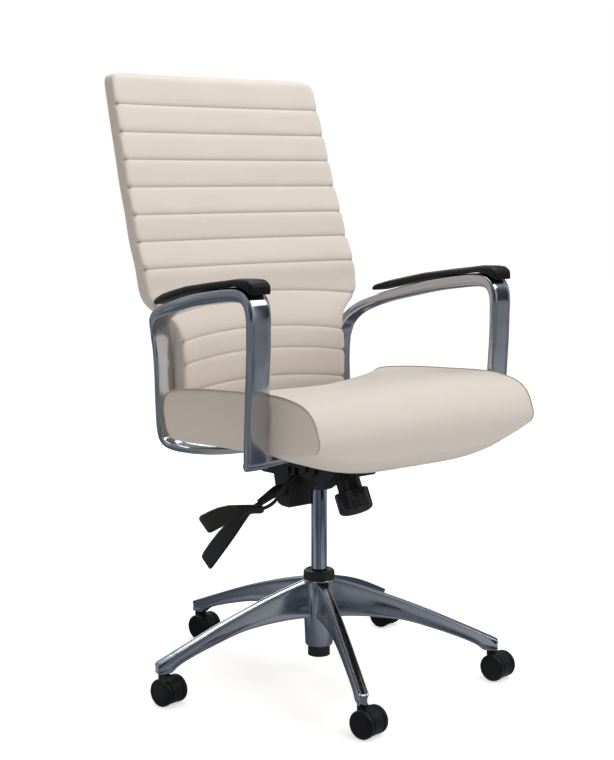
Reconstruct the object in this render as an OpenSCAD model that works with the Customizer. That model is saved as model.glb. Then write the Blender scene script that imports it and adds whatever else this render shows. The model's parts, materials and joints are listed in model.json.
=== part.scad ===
// Swivel office chair with a channel-tufted back, looped metal arms and a five-leg base.
// Origin on the floor under the column; +Z up; the sitter faces -Y; +X is to the right seen from the front.

/* [Base] */
// Distance from the column to each caster stem
base_radius = 325; // [295:1:390]
// Number of legs
leg_count = 5; // [5:1:5]
// Direction of the first leg, degrees from +X
leg_angle = -116.6; // [-150:0.1:-80]
// Width of each leg
leg_width = 19; // [17:0.5:24]
// Height of the hub's top face
hub_top_z = 183; // [176:1:196]
// Height of the hub's bottom face
hub_bottom_z = 54; // [48:1:60]
// Height of the flat face that each caster stem enters
socket_z = 52; // [51:0.5:60]

/* [Casters] */
// Wheel diameter
wheel_d = 50; // [46:1:54]
// Tread width of one wheel
wheel_w = 12.5; // [10:0.5:15]
// Distance from the stem to the axle
caster_trail = 15; // [12:0.5:18]
// Axle diameter
axle_d = 8; // [6:0.5:9]
// Stem diameter
stem_d = 11; // [9:0.5:12]
// Heading of the parked casters, degrees from +X to the axle
caster_heading = 190; // [0:1:359]

/* [Column] */
// Diameter of the polished inner cylinder
column_d = 30; // [26:0.5:32]
// Height of the column's upper end
column_top_z = 398; // [392:1:402]
// Height travel of the gas lift
lift_travel = 100; // [60:1:110]

/* [Mechanism] */
// Width inside the tilting plate's side flanges
housing_width = 108; // [100:1:120]
// Height of the tilt axle
tilt_z = 404; // [400:1:408]
// Distance of the tilt axle ahead of the column
tilt_ahead = 29; // [24:1:34]
// Largest diameter of the tension knob
knob_d = 64; // [56:1:68]
// Length of the tension knob's grip
knob_length = 38; // [30:1:42]
// Forward lean of the tension knob's axis
knob_lean = 26; // [20:1:30]
// Diameter of the levers' rods
lever_rod_d = 7; // [6:0.2:8.4]
// How far the paddles roll toward the sitter's front, degrees
paddle_roll = 34; // [0:1:40]

/* [Seat] */
// Seat width
seat_width = 500; // [416:1:600]
// How far the seat's underside rises from its middle to its sides
seat_dish = 30; // [26:1:32]

/* [Back] */
// Half width of the back at its widest
back_half_w = 253; // [246:1:304]
// Thickness of the back
back_thick = 36; // [30:1:44]
// Radius of the back's hollow across
back_hollow_r = 1500; // [1200:10:3000]
// Height of the top edge
back_top_z = 1127; // [1095:1:1180]

/* [Arms] */
// Gap between the seat and each arm
arm_gap = 9; // [7:0.5:16]
// Width of the arm casting at the front
arm_w = 45; // [36:1:50]
// Thickness of the arm pad
pad_h = 12; // [9:0.5:18]

/* [Hidden] */
$fn = 48;
fit = 0.05;
leg_step = 360 / leg_count;

// Column and hub
tube_r_low = 21;
tube_r_top = 24.7;
tube_low_z = 34;
tube_taper_z = 60;
tube_wall = 2;
tube_bore_r = tube_r_low - tube_wall;
hub_r_low = 26;
hub_r_top = 29.5;
plate_t = 4;
thrust_h = 6;
cyl_low_z = hub_top_z - 33;
collar_h = 17;
collar_r = 29.5;
piston_r = 5;
bush_low_z = hub_top_z - 78;
taper_len = 42;
taper_drop = 1.2;
pin_depth = 16;
pin_travel = 5;
pin_r = 3.6;
pin_h = 7;

// Leg side outline, radius from the column and height
tip_r = base_radius + 12;
leg_tip_z = socket_z + 22;
leg_root_r = 20;
leg_top_z = hub_top_z - 1;
leg_wall = 3.6;

// Caster
wheel_r = wheel_d / 2;
hood_half_w = 11.7;
hood_gap = 0.5;
wheel_in_x = hood_half_w + hood_gap;
hood_r = wheel_r - 0.8;
hood_top_z = socket_z - 0.8;
stem_up = 20;
stem_down = 15;
boss_r = 8.6;

// Mechanism, seat and back frames
pivot_y = -tilt_ahead;
housing_low_z = 384;
housing_top_z = 421;
plate_top_z = 436;
flange_t = 3;
flange_x = housing_width / 2 + 1.2;
pivot_r = 6;
knob_top = [0, -91, 365];
neck_r = 22.5;
bolt_r = 5;
lever_y = 0;
lever_pivot = [-25, lever_y, 388.5];
trunnion_r = 2.5;
spring_box_y = 34;
lock_z = 350;
boot_bend_x = -63.3;
boot_lean = 114;
lock_y = 50;
lever_r = lever_rod_d / 2;
pan_t = 9;
plate_front_y = -150;
plate_rear_y = 126;
plate_half = 92;
flange_rear_y = 116;
plate_bolt_x = 78;
plate_bolt_y = [-128, 106];
plate_bolt_r = 3.2;
bracket_t = 4;
seat_low_z = plate_top_z + pan_t + 1;
seat_half = seat_width / 2;
arm_x = seat_half + arm_gap + arm_w / 2;
back_low_z = 498;
back_front_y = 156;

// ---------- helpers ----------

// Point on a quadratic curve through control points a, b, c
function bez2(a, b, c, t) = (1 - t) * (1 - t) * a + 2 * t * (1 - t) * b + t * t * c;

// Evenly spaced samples of a quadratic curve, last point left out
function curve(a, b, c, n) = [for (i = [0 : n - 1]) bez2(a, b, c, i / n)];

// Straight blend between two values
function mix(a, b, t) = a + (b - a) * t;

// Smooth blend from 0 to 1
function ease(t) = t <= 0 ? 0 : t >= 1 ? 1 : t * t * (3 - 2 * t);

// Catmull-Rom point on a list of points, u counted in list steps
function spline(p, u) =
    let (n = len(p) - 1, i = min(max(floor(u), 0), n - 1), t = u - i,
         a = p[max(i - 1, 0)], b = p[i], c = p[i + 1], d = p[min(i + 2, n)])
    0.5 * (2 * b + (c - a) * t + (2 * a - 5 * b + 4 * c - d) * t * t + (3 * b - a - 3 * c + d) * t * t * t);

// Unit vector
function unit(v) = v / norm(v);

// Rings of equal size joined into one closed skin
module skin(rings) {
    n = len(rings[0]);
    m = len(rings);
    pts = [for (r = rings) each r];
    faces = concat(
        [[for (k = [0 : n - 1]) n - 1 - k]],
        [for (j = [0 : m - 2]) for (k = [0 : n - 1]) [j * n + k, j * n + (k + 1) % n, (j + 1) * n + k]],
        [for (j = [0 : m - 2]) for (k = [0 : n - 1])
            [j * n + (k + 1) % n, (j + 1) * n + (k + 1) % n, (j + 1) * n + k]],
        [[for (k = [0 : n - 1]) (m - 1) * n + k]]);
    polyhedron(points = pts, faces = faces, convexity = 8);
}

// Places its children at caster i, x along the axle and y along the trail
module at_caster(i) {
    a = leg_angle + leg_step * (i - 1);
    translate([base_radius * cos(a), base_radius * sin(a), 0]) rotate([0, 0, caster_heading]) children();
}

// Cylinder along x from x0 to x1
module bar_x(x0, x1, r) {
    translate([x0, 0, 0]) rotate([0, 90, 0]) cylinder(h = x1 - x0, r = r);
}

// Extrudes a (y, z) outline along x, centred
module extrude_x(width) {
    translate([-width / 2, 0, 0]) rotate([90, 0, 90]) linear_extrude(width) children();
}

// Extrudes an (x, z) outline along y from y0 to y1
module extrude_y(y0, y1) {
    translate([0, y1, 0]) rotate([90, 0, 0]) linear_extrude(y1 - y0) children();
}

// ---------- base ----------

// Side outline of a leg between two drops below its top line
leg_top_line = concat(curve([leg_root_r, leg_top_z], [0.3 * tip_r, leg_top_z - 24], [tip_r, leg_tip_z], 14),
                      [[tip_r, leg_tip_z]]);
leg_bottom_line = concat(curve([base_radius - 12, socket_z], [base_radius - 16, leg_tip_z - 13],
                               [base_radius - 34, leg_tip_z - 7], 5),
                         curve([base_radius - 34, leg_tip_z - 7], [0.36 * base_radius, 112], [leg_root_r, 108], 12),
                         [[leg_root_r, 108]]);

module leg_solid() {
    intersection() {
        rotate([90, 0, 0]) translate([0, 0, -leg_width])
            linear_extrude(2 * leg_width) polygon(concat(leg_top_line, [[tip_r, socket_z]], leg_bottom_line));
        // plan outline: slight waist, chamfered tip corners
        linear_extrude(hub_top_z + 10)
            polygon([[0, -leg_width * 0.62], [70, -leg_width * 0.52], [tip_r - 4, -leg_width / 2],
                     [tip_r, -leg_width / 2 + 4], [tip_r, leg_width / 2 - 4], [tip_r - 4, leg_width / 2],
                     [70, leg_width * 0.52], [0, leg_width * 0.62]]);
    }
}

// Shallow dished strip along the top of a leg, between two bright raised edges
module leg_top_dish() {
    dish_w = leg_width - 6;
    rotate([90, 0, 0]) translate([0, 0, -dish_w / 2]) linear_extrude(dish_w)
        polygon(concat([for (p = leg_top_line) if (p[0] > 40 && p[0] < tip_r - 3) p + [0, 4]],
                       [for (k = [len(leg_top_line) - 1 : -1 : 0])
                           let (p = leg_top_line[k]) if (p[0] > 40 && p[0] < tip_r - 3) p - [0, 1.1]]));
}

// Open channel underneath a leg
module leg_channel() {
    inner_w = leg_width - 2 * leg_wall;
    rotate([90, 0, 0]) translate([0, 0, -inner_w / 2]) linear_extrude(inner_w)
        polygon(concat([for (p = leg_top_line) if (p[0] > 45 && p[0] < base_radius - 26) p - [0, 6]],
                       [[base_radius - 26, 20], [45, 20]]));
}

module base_star() {
    color("silver") difference() {
        union() {
            rotate_extrude($fn = 96) polygon([[0, hub_bottom_z], [hub_r_low - 1.5, hub_bottom_z],
                [hub_r_low, hub_bottom_z + 2], [hub_r_top - 0.5, 118], [hub_r_top, hub_top_z - 1.5],
                [hub_r_top - 1.5, hub_top_z], [0, hub_top_z]]);
            for (i = [0 : leg_count - 1]) rotate([0, 0, leg_angle + leg_step * i]) difference() {
                leg_solid();
                leg_top_dish();
                leg_channel();
            }
        }
        // tapered seat of the gas lift
        translate([0, 0, hub_bottom_z - 1]) cylinder(h = tube_taper_z - hub_bottom_z + 1, r = tube_r_low + fit);
        translate([0, 0, tube_taper_z])
            cylinder(h = hub_top_z - tube_taper_z, r1 = tube_r_low + fit, r2 = tube_r_top + fit);
        translate([0, 0, hub_top_z - 0.01]) cylinder(h = 5, r = tube_r_top + fit);
        // stem sockets
        for (i = [0 : leg_count - 1]) rotate([0, 0, leg_angle + leg_step * i])
            translate([base_radius, 0, socket_z - 3]) cylinder(h = stem_up + 3 + 0.5 - 4, r = stem_d / 2 + fit);
    }
}

module hub_collar() {
    color("#151515") translate([0, 0, hub_top_z]) rotate_extrude($fn = 96) difference() {
        polygon([[column_d / 2 + 0.6, 0], [collar_r, 0], [collar_r, collar_h - 5], [collar_r - 0.8, collar_h - 2.4],
                 [collar_r - 2.4, collar_h - 0.7], [collar_r - 4.6, collar_h], [collar_r - 8, collar_h],
                 [collar_r - 10, collar_h - 1.4], [column_d / 2 + 0.6, collar_h - 1.4]]);
    }
}

module lift_tube() {
    color("#1c1c1c") difference() {
        union() {
            translate([0, 0, tube_low_z]) cylinder(h = tube_taper_z - tube_low_z, r = tube_r_low);
            translate([0, 0, tube_taper_z])
                cylinder(h = hub_top_z - tube_taper_z, r1 = tube_r_low, r2 = tube_r_top);
        }
        translate([0, 0, tube_low_z + plate_t]) cylinder(h = hub_top_z, r = tube_bore_r);
        translate([0, 0, tube_low_z - 1]) cylinder(h = plate_t + 2, r = piston_r + 0.5);
    }
}

module lift_base_clip() {
    color("#2b2b2b") translate([0, 0, tube_low_z - 3]) difference() {
        cylinder(h = 3, r = 9);
        translate([0, 0, -1]) cylinder(h = 5, r = piston_r + fit);
    }
}

module thrust_bearing() {
    z0 = tube_low_z + plate_t;
    ball_r = 1.4;
    ring_t = (thrust_h - 2 * ball_r) / 2;
    color("silver") {
        for (z = [z0, z0 + thrust_h - ring_t]) translate([0, 0, z]) difference() {
            cylinder(h = ring_t, r = 12);
            translate([0, 0, -1]) cylinder(h = ring_t + 2, r = piston_r + 0.5);
        }
        for (k = [0 : 7]) rotate([0, 0, 45 * k]) translate([8.7, 0, z0 + thrust_h / 2]) sphere(r = ball_r, $fn = 24);
    }
}

module lift_buffer() {
    color("#202020") translate([0, 0, tube_low_z + plate_t + thrust_h]) difference() {
        cylinder(h = 3, r = 13);
        translate([0, 0, -1]) cylinder(h = 5, r = piston_r + 0.5);
    }
}

module guide_bush() {
    color("ivory") translate([0, 0, bush_low_z]) difference() {
        cylinder(h = hub_top_z - bush_low_z, r = tube_bore_r - fit);
        translate([0, 0, -1]) cylinder(h = hub_top_z, r = column_d / 2 + fit);
    }
}

module caster_stems() {
    color("silver") for (i = [1 : leg_count]) at_caster(i) {
        translate([0, 0, socket_z - stem_down]) cylinder(h = stem_down + stem_up - 4, r = stem_d / 2);
    }
}

// ---------- casters ----------

module caster_hood(i) {
    color("#1b1b1b") at_caster(i) difference() {
        union() {
            // saddle between the wheels, clear of the floor
            intersection() {
                translate([0, caster_trail, wheel_r]) bar_x(-hood_half_w, hood_half_w, hood_r);
                translate([-wheel_r, caster_trail - wheel_r, 5]) cube([wheel_d, wheel_d + 2, wheel_d]);
            }
            // shoulder from the saddle up to the stem boss
            intersection() {
                rotate([90, 0, 90]) translate([0, 0, -hood_half_w]) linear_extrude(2 * hood_half_w)
                    polygon([[-boss_r + 1, 20], [-boss_r + 1, hood_top_z], [boss_r - 1, hood_top_z],
                             [caster_trail + 4, wheel_r + hood_r - 0.6], [caster_trail + 4, 20]]);
                union() {
                    translate([0, 0, 10]) cylinder(h = hood_top_z - 10, r = boss_r);
                    linear_extrude(60) polygon([[-hood_half_w, caster_trail + 5], [hood_half_w, caster_trail + 5],
                                                [boss_r - 0.5, 1], [-boss_r + 0.5, 1]]);
                }
            }
        }
        // valleys beside the boss
        for (s = [-1, 1]) translate([s * (hood_half_w - 1.2), -wheel_r + 4, wheel_r]) rotate([0, 0, s * 14])
            translate([-2.4, -9, -wheel_r]) cube([4.8, 18, 2 * wheel_r]);
        translate([0, 0, socket_z - stem_down - 0.5]) cylinder(h = 40, r = stem_d / 2 + fit);
        translate([0, caster_trail, wheel_r]) bar_x(-wheel_r, wheel_r, axle_d / 2 + fit / 2);
    }
}

module caster_axle(i) {
    color("silver") at_caster(i) translate([0, caster_trail, wheel_r])
        bar_x(-wheel_in_x - 8, wheel_in_x + 8, axle_d / 2);
}

// One wheel; side is -1 or 1 along the axle
module caster_wheel(i, side) {
    color("#121212") at_caster(i) translate([0, caster_trail, wheel_r]) rotate([0, 90 * side, 0])
        translate([0, 0, wheel_in_x]) difference() {
            rotate_extrude($fn = 72) polygon(concat(
                [[0, 0], [wheel_r - 3, 0], [wheel_r - 1.2, 0.6], [wheel_r, 2.2]],
                [for (k = [0 : 5]) [wheel_r - 5 + 5 * cos(15 * k), wheel_w - 5 + 5 * sin(15 * k)]],
                [[wheel_r - 5, wheel_w], [wheel_r - 7, wheel_w + 0.05], [wheel_r - 7.6, wheel_w - 0.5],
                 [wheel_r - 8.6, wheel_w - 0.5], [wheel_r - 9.2, wheel_w], [0, wheel_w]]));
            translate([0, 0, -1]) cylinder(h = 9.6, r = axle_d / 2 + fit);
        }
}

// ---------- column ----------

module piston_rod() {
    z0 = tube_low_z + plate_t + thrust_h + 3;
    color("silver") {
        translate([0, 0, tube_low_z - 5]) cylinder(h = cyl_low_z + 20 - tube_low_z + 5, r = piston_r);
        translate([0, 0, z0]) cylinder(h = 1.5, r = 8);
    }
}

module lift_cylinder() {
    color("silver") difference() {
        union() {
            translate([0, 0, cyl_low_z]) cylinder(h = column_top_z - taper_len - cyl_low_z, r = column_d / 2);
            translate([0, 0, column_top_z - taper_len])
                cylinder(h = taper_len, r1 = column_d / 2, r2 = column_d / 2 - taper_drop);
        }
        // working bore for the piston rod
        translate([0, 0, cyl_low_z - 1]) cylinder(h = lift_travel + 45, r = piston_r + fit);
        translate([0, 0, column_top_z - pin_depth]) cylinder(h = pin_depth + 1, r = pin_r + fit);
    }
}

module release_pin() {
    color("silver") translate([0, 0, column_top_z - pin_depth + pin_travel]) cylinder(h = pin_depth - pin_travel + pin_h, r = pin_r);
}

// ---------- mechanism ----------

module mechanism_housing() {
    hw = housing_width / 2;
    color("#141414") difference() {
        union() {
            // pressed body, upper box
            extrude_x(housing_width) polygon([[-104, housing_top_z], [-112, 412], [-96, housing_low_z + 6],
                [-60, housing_low_z], [62, housing_low_z], [84, 392], [84, 402], [66, 409], [34, 416],
                [8, housing_top_z]]);
            // funnel under the box that grips the column
            hull() {
                translate([-34, -52, housing_low_z]) cube([68, 52 + spring_box_y - 0.5, 1]);
                translate([0, 0, 357]) cylinder(h = 1, r = 26, $fn = 32);
            }
            // tube around the tension bolt
            translate(knob_top) rotate([-knob_lean, 0, 0]) translate([0, 0, 0.6]) cylinder(h = 41, r = neck_r);
        }
        // room inside for the levers' ends and the column's release pin
        translate([-hw + 4, -62, housing_low_z + 8]) cube([housing_width - 8, 108, 60]);
        translate([0, 0, 350]) cylinder(h = column_top_z - taper_len - 350, r = column_d / 2 + fit);
        translate([0, 0, column_top_z - taper_len])
            cylinder(h = taper_len, r1 = column_d / 2 + fit, r2 = column_d / 2 - taper_drop + fit);
        // tension bolt hole and spring pocket
        translate(knob_top) rotate([-knob_lean, 0, 0]) {
            translate([0, 0, -1]) cylinder(h = 90, r = bolt_r + 0.6);
            translate([0, 0, 4]) cylinder(h = 90, r = 15);
        }
        // axle hole
        translate([0, pivot_y, tilt_z]) bar_x(-hw - 1, hw + 1, pivot_r + fit);
        // slot for the height lever and the bores of its trunnions
        translate([-hw - 1, lever_y - 6, housing_low_z - 4]) cube([hw - 16, 12, 22]);
        translate([lever_pivot[0], lever_y + 9, lever_pivot[2]]) rotate([90, 0, 0])
            cylinder(h = 18, r = trunnion_r + fit);
    }
}

module spring_housing() {
    color("#111111") difference() {
        union() {
            hull() {
                translate([-46, spring_box_y, 322]) cube([92, 33, 40]);
                translate([-40, 40, 316]) cube([80, 22, 4]);
                translate([-46, spring_box_y, housing_low_z - 6]) cube([92, 46, 5.9]);
            }
            translate([0, lock_y, lock_z]) bar_x(-49, 49, 11);
        }
        translate([0, lock_y, lock_z]) bar_x(-60, 20, lever_r + fit);
    }
}

module tilt_axle() {
    hx = flange_x + flange_t;
    color("#303030") translate([0, pivot_y, tilt_z]) {
        bar_x(-hx - 0.5, hx + 0.5, pivot_r);
        for (s = [-1, 1]) translate([s * (hx + 2.4), 0, 0]) bar_x(-2.1, 2.1, pivot_r + 3);
    }
}

spring_turns = 5;
spring_wire = 2.2;
spring_r = 11;

module tension_spring() {
    steps = 12;
    n = spring_turns * steps;
    pitch = 28 / spring_turns;
    color("silver") translate(knob_top) rotate([-knob_lean, 0, 0]) translate([0, 0, 7])
        skin([for (j = [0 : n]) let (a = 360 * j / steps)
            [for (k = [0 : 7]) let (b = 45 * k, r = spring_r + spring_wire * cos(b))
                [r * cos(a), r * sin(a), pitch * j / steps + spring_wire * sin(b)]]]);
}

module tension_bolt() {
    color("silver") translate(knob_top) rotate([-knob_lean, 0, 0])
        translate([0, 0, -knob_length + 10]) cylinder(h = knob_length + 28, r = bolt_r);
}

module tension_knob() {
    flutes = 22;
    groove_r = 1.7;
    kr = knob_d / 2;
    color("#131313") translate(knob_top) rotate([-knob_lean, 0, 0]) difference() {
        rotate_extrude($fn = 96) polygon([[0, -knob_length - 5], [kr * 0.42, -knob_length - 4.6],
            [kr * 0.72, -knob_length - 3.2], [kr * 0.9, -knob_length - 0.6], [kr - 0.4, -knob_length + 3],
            [kr, -knob_length + 5], [kr, -1.6], [kr - 1.4, -0.2], [neck_r + 1, 0], [0, 0]]);
        for (k = [0 : flutes - 1]) rotate([0, 0, 360 * k / flutes]) translate([kr + 0.5, 0, -knob_length + 3])
            cylinder(h = knob_length, r = groove_r, $fn = 16);
        translate([0, 0, -knob_length + 10]) cylinder(h = knob_length, r = bolt_r + fit / 2);
    }
}

// Bent rod as a chain of rings along a spline
module rod_along(p, r, per) {
    n = (len(p) - 1) * per;
    c = [for (j = [0 : n]) spline(p, j / per)];
    skin([for (j = [0 : n]) let (t = unit(c[min(j + 1, n)] - c[max(j - 1, 0)]), u = unit(cross([0, 1, 0], t)))
        [for (k = [0 : 11]) c[j] + r * cos(30 * k) * [0, 1, 0] + r * sin(30 * k) * u]]);
}

height_path = [lever_pivot, [-52, 0, 387], [-70, 0, 378], [-88, 0, 361], [-106, 0, 344], [-122, 0, 337],
               [-140, 0, 335], [-160, 0, 336]];

module height_lever() {
    color("#2a2a2a") {
        rod_along(height_path, lever_r, 4);
        translate(lever_pivot) rotate([90, 0, 0]) {
            translate([0, 0, -4.5]) cylinder(h = 9, r = 4.4);
            translate([0, 0, -8.5]) cylinder(h = 17, r = trunnion_r);
        }
        // finger over the release pin
        translate([lever_pivot[0] - 4, lever_y - 4, lever_pivot[2]])
            cube([6, 8, column_top_z + pin_h + 0.4 - lever_pivot[2]]);
        translate([lever_pivot[0] - 4, lever_y - 4, column_top_z + pin_h + 0.4]) cube([34, 8, 3.6]);
    }
}

// Flat paddle lofted along x: each station is [x, y centre, z centre, half width, half thickness]
module paddle(st, roll) {
    n = len(st) - 1;
    skin([for (k = [0 : n]) let (s = st[k], e = min(s[4] * 0.7, 2.2), a = roll * ease((k - 1) / (n - 4)))
        [for (q = [[-s[3], e - s[4]], [1.6 * e - s[3], -s[4]], [0, -s[4]], [s[3] - 1.6 * e, -s[4]], [s[3], e - s[4]],
                   [s[3], s[4] - e], [s[3] - 1.6 * e, s[4]], [0, s[4]], [1.6 * e - s[3], s[4]], [-s[3], s[4] - e]])
            [s[0], s[1] + q[0] * cos(a) - q[1] * sin(a), s[2] + q[0] * sin(a) + q[1] * cos(a)]]]);
}

module height_paddle() {
    color("#1d1d1d") difference() {
        paddle([[-136, -1, 335, 7, 6.5], [-142, -1, 335.5, 8, 7.5], [-158, -1, 338, 10, 7], [-178, 0, 339.5, 13, 5.6],
                [-200, 1, 338.5, 17, 4.6], [-222, 2, 334.5, 19.5, 4.2], [-242, 3, 329, 20.5, 4.0],
                [-256, 4, 324.5, 20.5, 3.8], [-260, 4, 323.2, 18.5, 3.2]], paddle_roll);
        // pocket for the rod
        translate([-161.5, 0, 335.5]) bar_x(0, 40, lever_r + 1.4);
    }
}

// Straight run and leaning run shared by the lock lever's rod and its boot
module lock_rod(r, x_end, reach) {
    bar_x(boot_bend_x, x_end, r);
    translate([boot_bend_x, 0, 0]) {
        sphere(r = r);
        rotate([0, -boot_lean, 0]) cylinder(h = reach, r = r);
    }
}

module lock_boot() {
    color("#202020") translate([0, lock_y, lock_z]) difference() {
        union() {
            translate([-49.4, 0, 0]) rotate([0, -90, 0]) cylinder(h = 13.9, r1 = 11.5, r2 = 10);
            translate([boot_bend_x, 0, 0]) {
                sphere(r = 10);
                rotate([0, -boot_lean, 0]) cylinder(h = 42, r1 = 10, r2 = 7);
            }
        }
        lock_rod(lever_r + fit, -40, 60);
    }
}

module lock_lever() {
    color("#1d1d1d") translate([0, lock_y, 0]) {
        translate([0, 0, lock_z]) lock_rod(lever_r, 18, 49);
        paddle([[-103.5, 0, 331.5, 4.2, 4.2], [-118, 0, 325, 5.5, 5], [-132, 0, 317.5, 8, 5.4], [-148, 0, 307, 12.5, 5],
                [-166, 0, 293.5, 16.5, 4.6], [-186, 0, 276.5, 18.5, 4.4], [-206, 0, 258, 19, 4.2],
                [-220, 0, 244, 18.5, 4.0], [-224, 0, 240, 16.5, 3.4]], paddle_roll);
    }
}

// ---------- tilting frame ----------

module seat_plate() {
    color("#161616") difference() {
        union() {
            translate([-plate_half, plate_front_y, plate_top_z - flange_t])
                cube([2 * plate_half, plate_rear_y - plate_front_y, flange_t]);
            // side flanges beside the housing
            for (s = [-1, 1]) translate([s * (flange_x + flange_t / 2), 0, 0]) extrude_x(flange_t)
                polygon([[-58, plate_top_z - 1], [-58, 398], [-46, 390], [-20, 390], [30, 384], [63, 380], [99, 379],
                         [flange_rear_y, 395], [flange_rear_y, plate_top_z - 1]]);
        }
        translate([0, pivot_y, tilt_z]) bar_x(-120, 120, pivot_r + fit);
        // notch over the height lever
        translate([-flange_x - flange_t - 1, lever_y - 14, 370]) cube([flange_t + 2, 34, 32]);
        for (x = [-plate_bolt_x, plate_bolt_x], y = plate_bolt_y)
            translate([x, y, plate_top_z - 10]) cylinder(h = 20, r = plate_bolt_r + fit);
    }
}

module seat_plate_bolts() {
    color("#333333") for (x = [-plate_bolt_x, plate_bolt_x], y = plate_bolt_y) {
        // the rear pair also clamps the back's bracket
        z = plate_top_z - flange_t - (y > 0 ? bracket_t : 0);
        translate([x, y, z - 4.5]) cylinder(h = 4.5, r = 5.5);
        translate([x, y, z]) cylinder(h = plate_top_z - z + 7, r = plate_bolt_r);
    }
}

// Height of the pan's underside across the seat
dish_from = plate_half + 3;
dish_to = arm_x - arm_w - 56.5;
function dish(x) = seat_dish * ease((abs(x) - dish_from) / (dish_to - dish_from));

pan_half = seat_half - 34;

module seat_pan() {
    xs = [for (k = [-12 : 12]) pan_half * k / 12];
    color("#1a1a1a") difference() {
        intersection() {
            extrude_y(-270, 132) polygon(concat([for (x = xs) [x, plate_top_z + dish(x)]],
                [for (k = [24 : -1 : 0]) [xs[k], plate_top_z + pan_t + dish(xs[k])]]));
            linear_extrude(600) polygon([[-pan_half + 40, -250], [pan_half - 40, -250], [pan_half, -190],
                [pan_half, 105], [pan_half - 20, 130], [-pan_half + 20, 130], [-pan_half, 105], [-pan_half, -190]]);
        }
        for (x = [-plate_bolt_x, plate_bolt_x], y = plate_bolt_y)
            translate([x, y, plate_top_z - 1]) cylinder(h = 8.1, r = plate_bolt_r + fit);
        for (s = [-1, 1], p = arm_bolt_at)
            translate([s * p[0], p[1], plate_top_z]) cylinder(h = 60, r = arm_bolt_r + fit);
    }
}

// Seat side outline (y, z) at the seams
seat_seam = [[150, 520], [141, 545], [125, 554], [99, 555], [16, 563], [-71, 569], [-150, 576], [-205, 578],
             [-240, 573], [-268, 562], [-290, 544], [-304, 522], [-309, 500], [-303, 478], [-286, 462]];

// Roll of the cushion that hangs in front of the pan (y, z), and its half width
front_roll = [[-303, 478], [-297, 455], [-284, 441], [-268, 436], [-256, 439], [-251, 448], [-251, 480]];
roll_half = seat_half - 100;

module seat_cushion() {
    xs = [for (k = [-10 : 10]) seat_half * k / 10];
    color("#dccfc0") extrude_x(2 * roll_half) polygon(front_roll);
    color("#dccfc0") intersection() {
        extrude_x(seat_width) polygon(concat(seat_seam, [[-262, 452], [-230, 446], [126, 446], [142, 462],
                                                         [148, 490]]));
        extrude_y(-320, 160) polygon(concat([for (x = xs) [x, seat_low_z + 0.4 + dish(x)]],
            [for (k = [20 : -1 : 0]) [xs[k], 580]]));
    }
}

// ---------- arms ----------

rear_leg_in = 65;
rear_leg_w = 38;

// Stations of the right arm's casting: centre, then width across x and thickness across the loop
arm_path = [
    [[arm_x, -178, 457], [45, 14]],
    [[arm_x, -178, 470], [45, 15]],
    [[arm_x, -179, 500], [45, 16]],
    [[arm_x, -182, 560], [45, 15]],
    [[arm_x, -186, 630], [45, 15]],
    [[arm_x, -187, 680], [45, 15.5]],
    [[arm_x, -186, 712], [45, 18]],
    [[arm_x, -178, 731], [45, 22]],
    [[arm_x, -162, 739.5], [45, 25]],
    [[arm_x, -135, 740], [45, 25]],
    [[arm_x, -90, 735], [45, 25]],
    [[arm_x - 1, -20, 724], [45, 24]],
    [[arm_x - 6, 50, 708], [44, 22]],
    [[arm_x - 16, 110, 692], [42, 20]],
    [[arm_x - 34, 155, 673], [41, 18]],
    [[arm_x - 52, 180, 648], [40, 16]],
    [[arm_x - 62, 189, 615], [39, 15]],
    [[arm_x - 65, 190, 570], [38, 15]],
    [[arm_x - 65, 188, 515], [38, 15]],
    [[arm_x - 65, 185, 472], [38, 14]],
    [[arm_x - 66, 177, 449], [38, 13]],
    [[arm_x - 68, 156, 439], [37, 12]],
    [[arm_x - 71, 110, 438], [36, 12]],
    [[arm_x - 76, 50, 443], [35, 12]],
    [[arm_x - 82, 0, 450], [33, 11]],
    [[arm_x - 88, -50, 459], [29, 9.5]],
    [[arm_x - 90, -78, 461], [24, 8]]];

// Where each arm's bolts enter the seat pan, with the height of their heads' tops
front_foot_z = plate_top_z + seat_dish - 9.4;
arm_bolt_at = [[arm_x - 85, -160, front_foot_z], [arm_x - 89, -58, front_foot_z]];
arm_bolt_r = 3.1;

// Plan of the front foot that turns inboard under the seat
module arm_front_foot() {
    translate([0, 0, front_foot_z]) linear_extrude(9.2) polygon(concat(
        [[arm_x + arm_w / 2 - 1, -185], [arm_x + arm_w / 2 - 1, -171], [arm_x - arm_w / 2 - 8, -163]],
        [for (k = [0 : 8]) [arm_x - 85 + 13 * cos(80 + 22 * k), -160 + 13 * sin(80 + 22 * k)]],
        [[arm_x - arm_w / 2, -185]]));
}

// Section of the casting: crowned outer face, flat sides and tapered inner belly
function arm_ring(c, t, w, h) =
    let (n = unit(cross([1, 0, 0], t)), x = [1, 0, 0],
         sec = [[-0.5, 0.10], [-0.5, -0.06], [-0.44, -0.22], [-0.36, -0.42], [-0.28, -0.5], [0, -0.5], [0.28, -0.5],
                [0.36, -0.42], [0.44, -0.22], [0.5, -0.06], [0.5, 0.10], [0.5, 0.34], [0.465, 0.46], [0.42, 0.5],
                [0, 0.5], [-0.42, 0.5], [-0.465, 0.46], [-0.5, 0.34]])
    [for (s = sec) c + s[0] * w * x + s[1] * h * n];

module arm_frame() {
    per = 4;
    n = (len(arm_path) - 1) * per;
    cs = [for (s = arm_path) s[0]];
    ws = [for (s = arm_path) s[1]];
    c = [for (j = [0 : n]) spline(cs, j / per)];
    w = [for (j = [0 : n]) spline(ws, j / per)];
    skin([for (j = [0 : n])
        let (t = c[min(j + 1, n)] - c[max(j - 1, 0)]) arm_ring(c[j], unit([0, t[1], t[2]]), w[j][0], w[j][1])]);
    arm_front_foot();
}

module arm_frame_right() {
    color("#b9bcc2") arm_frame();
}

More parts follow.
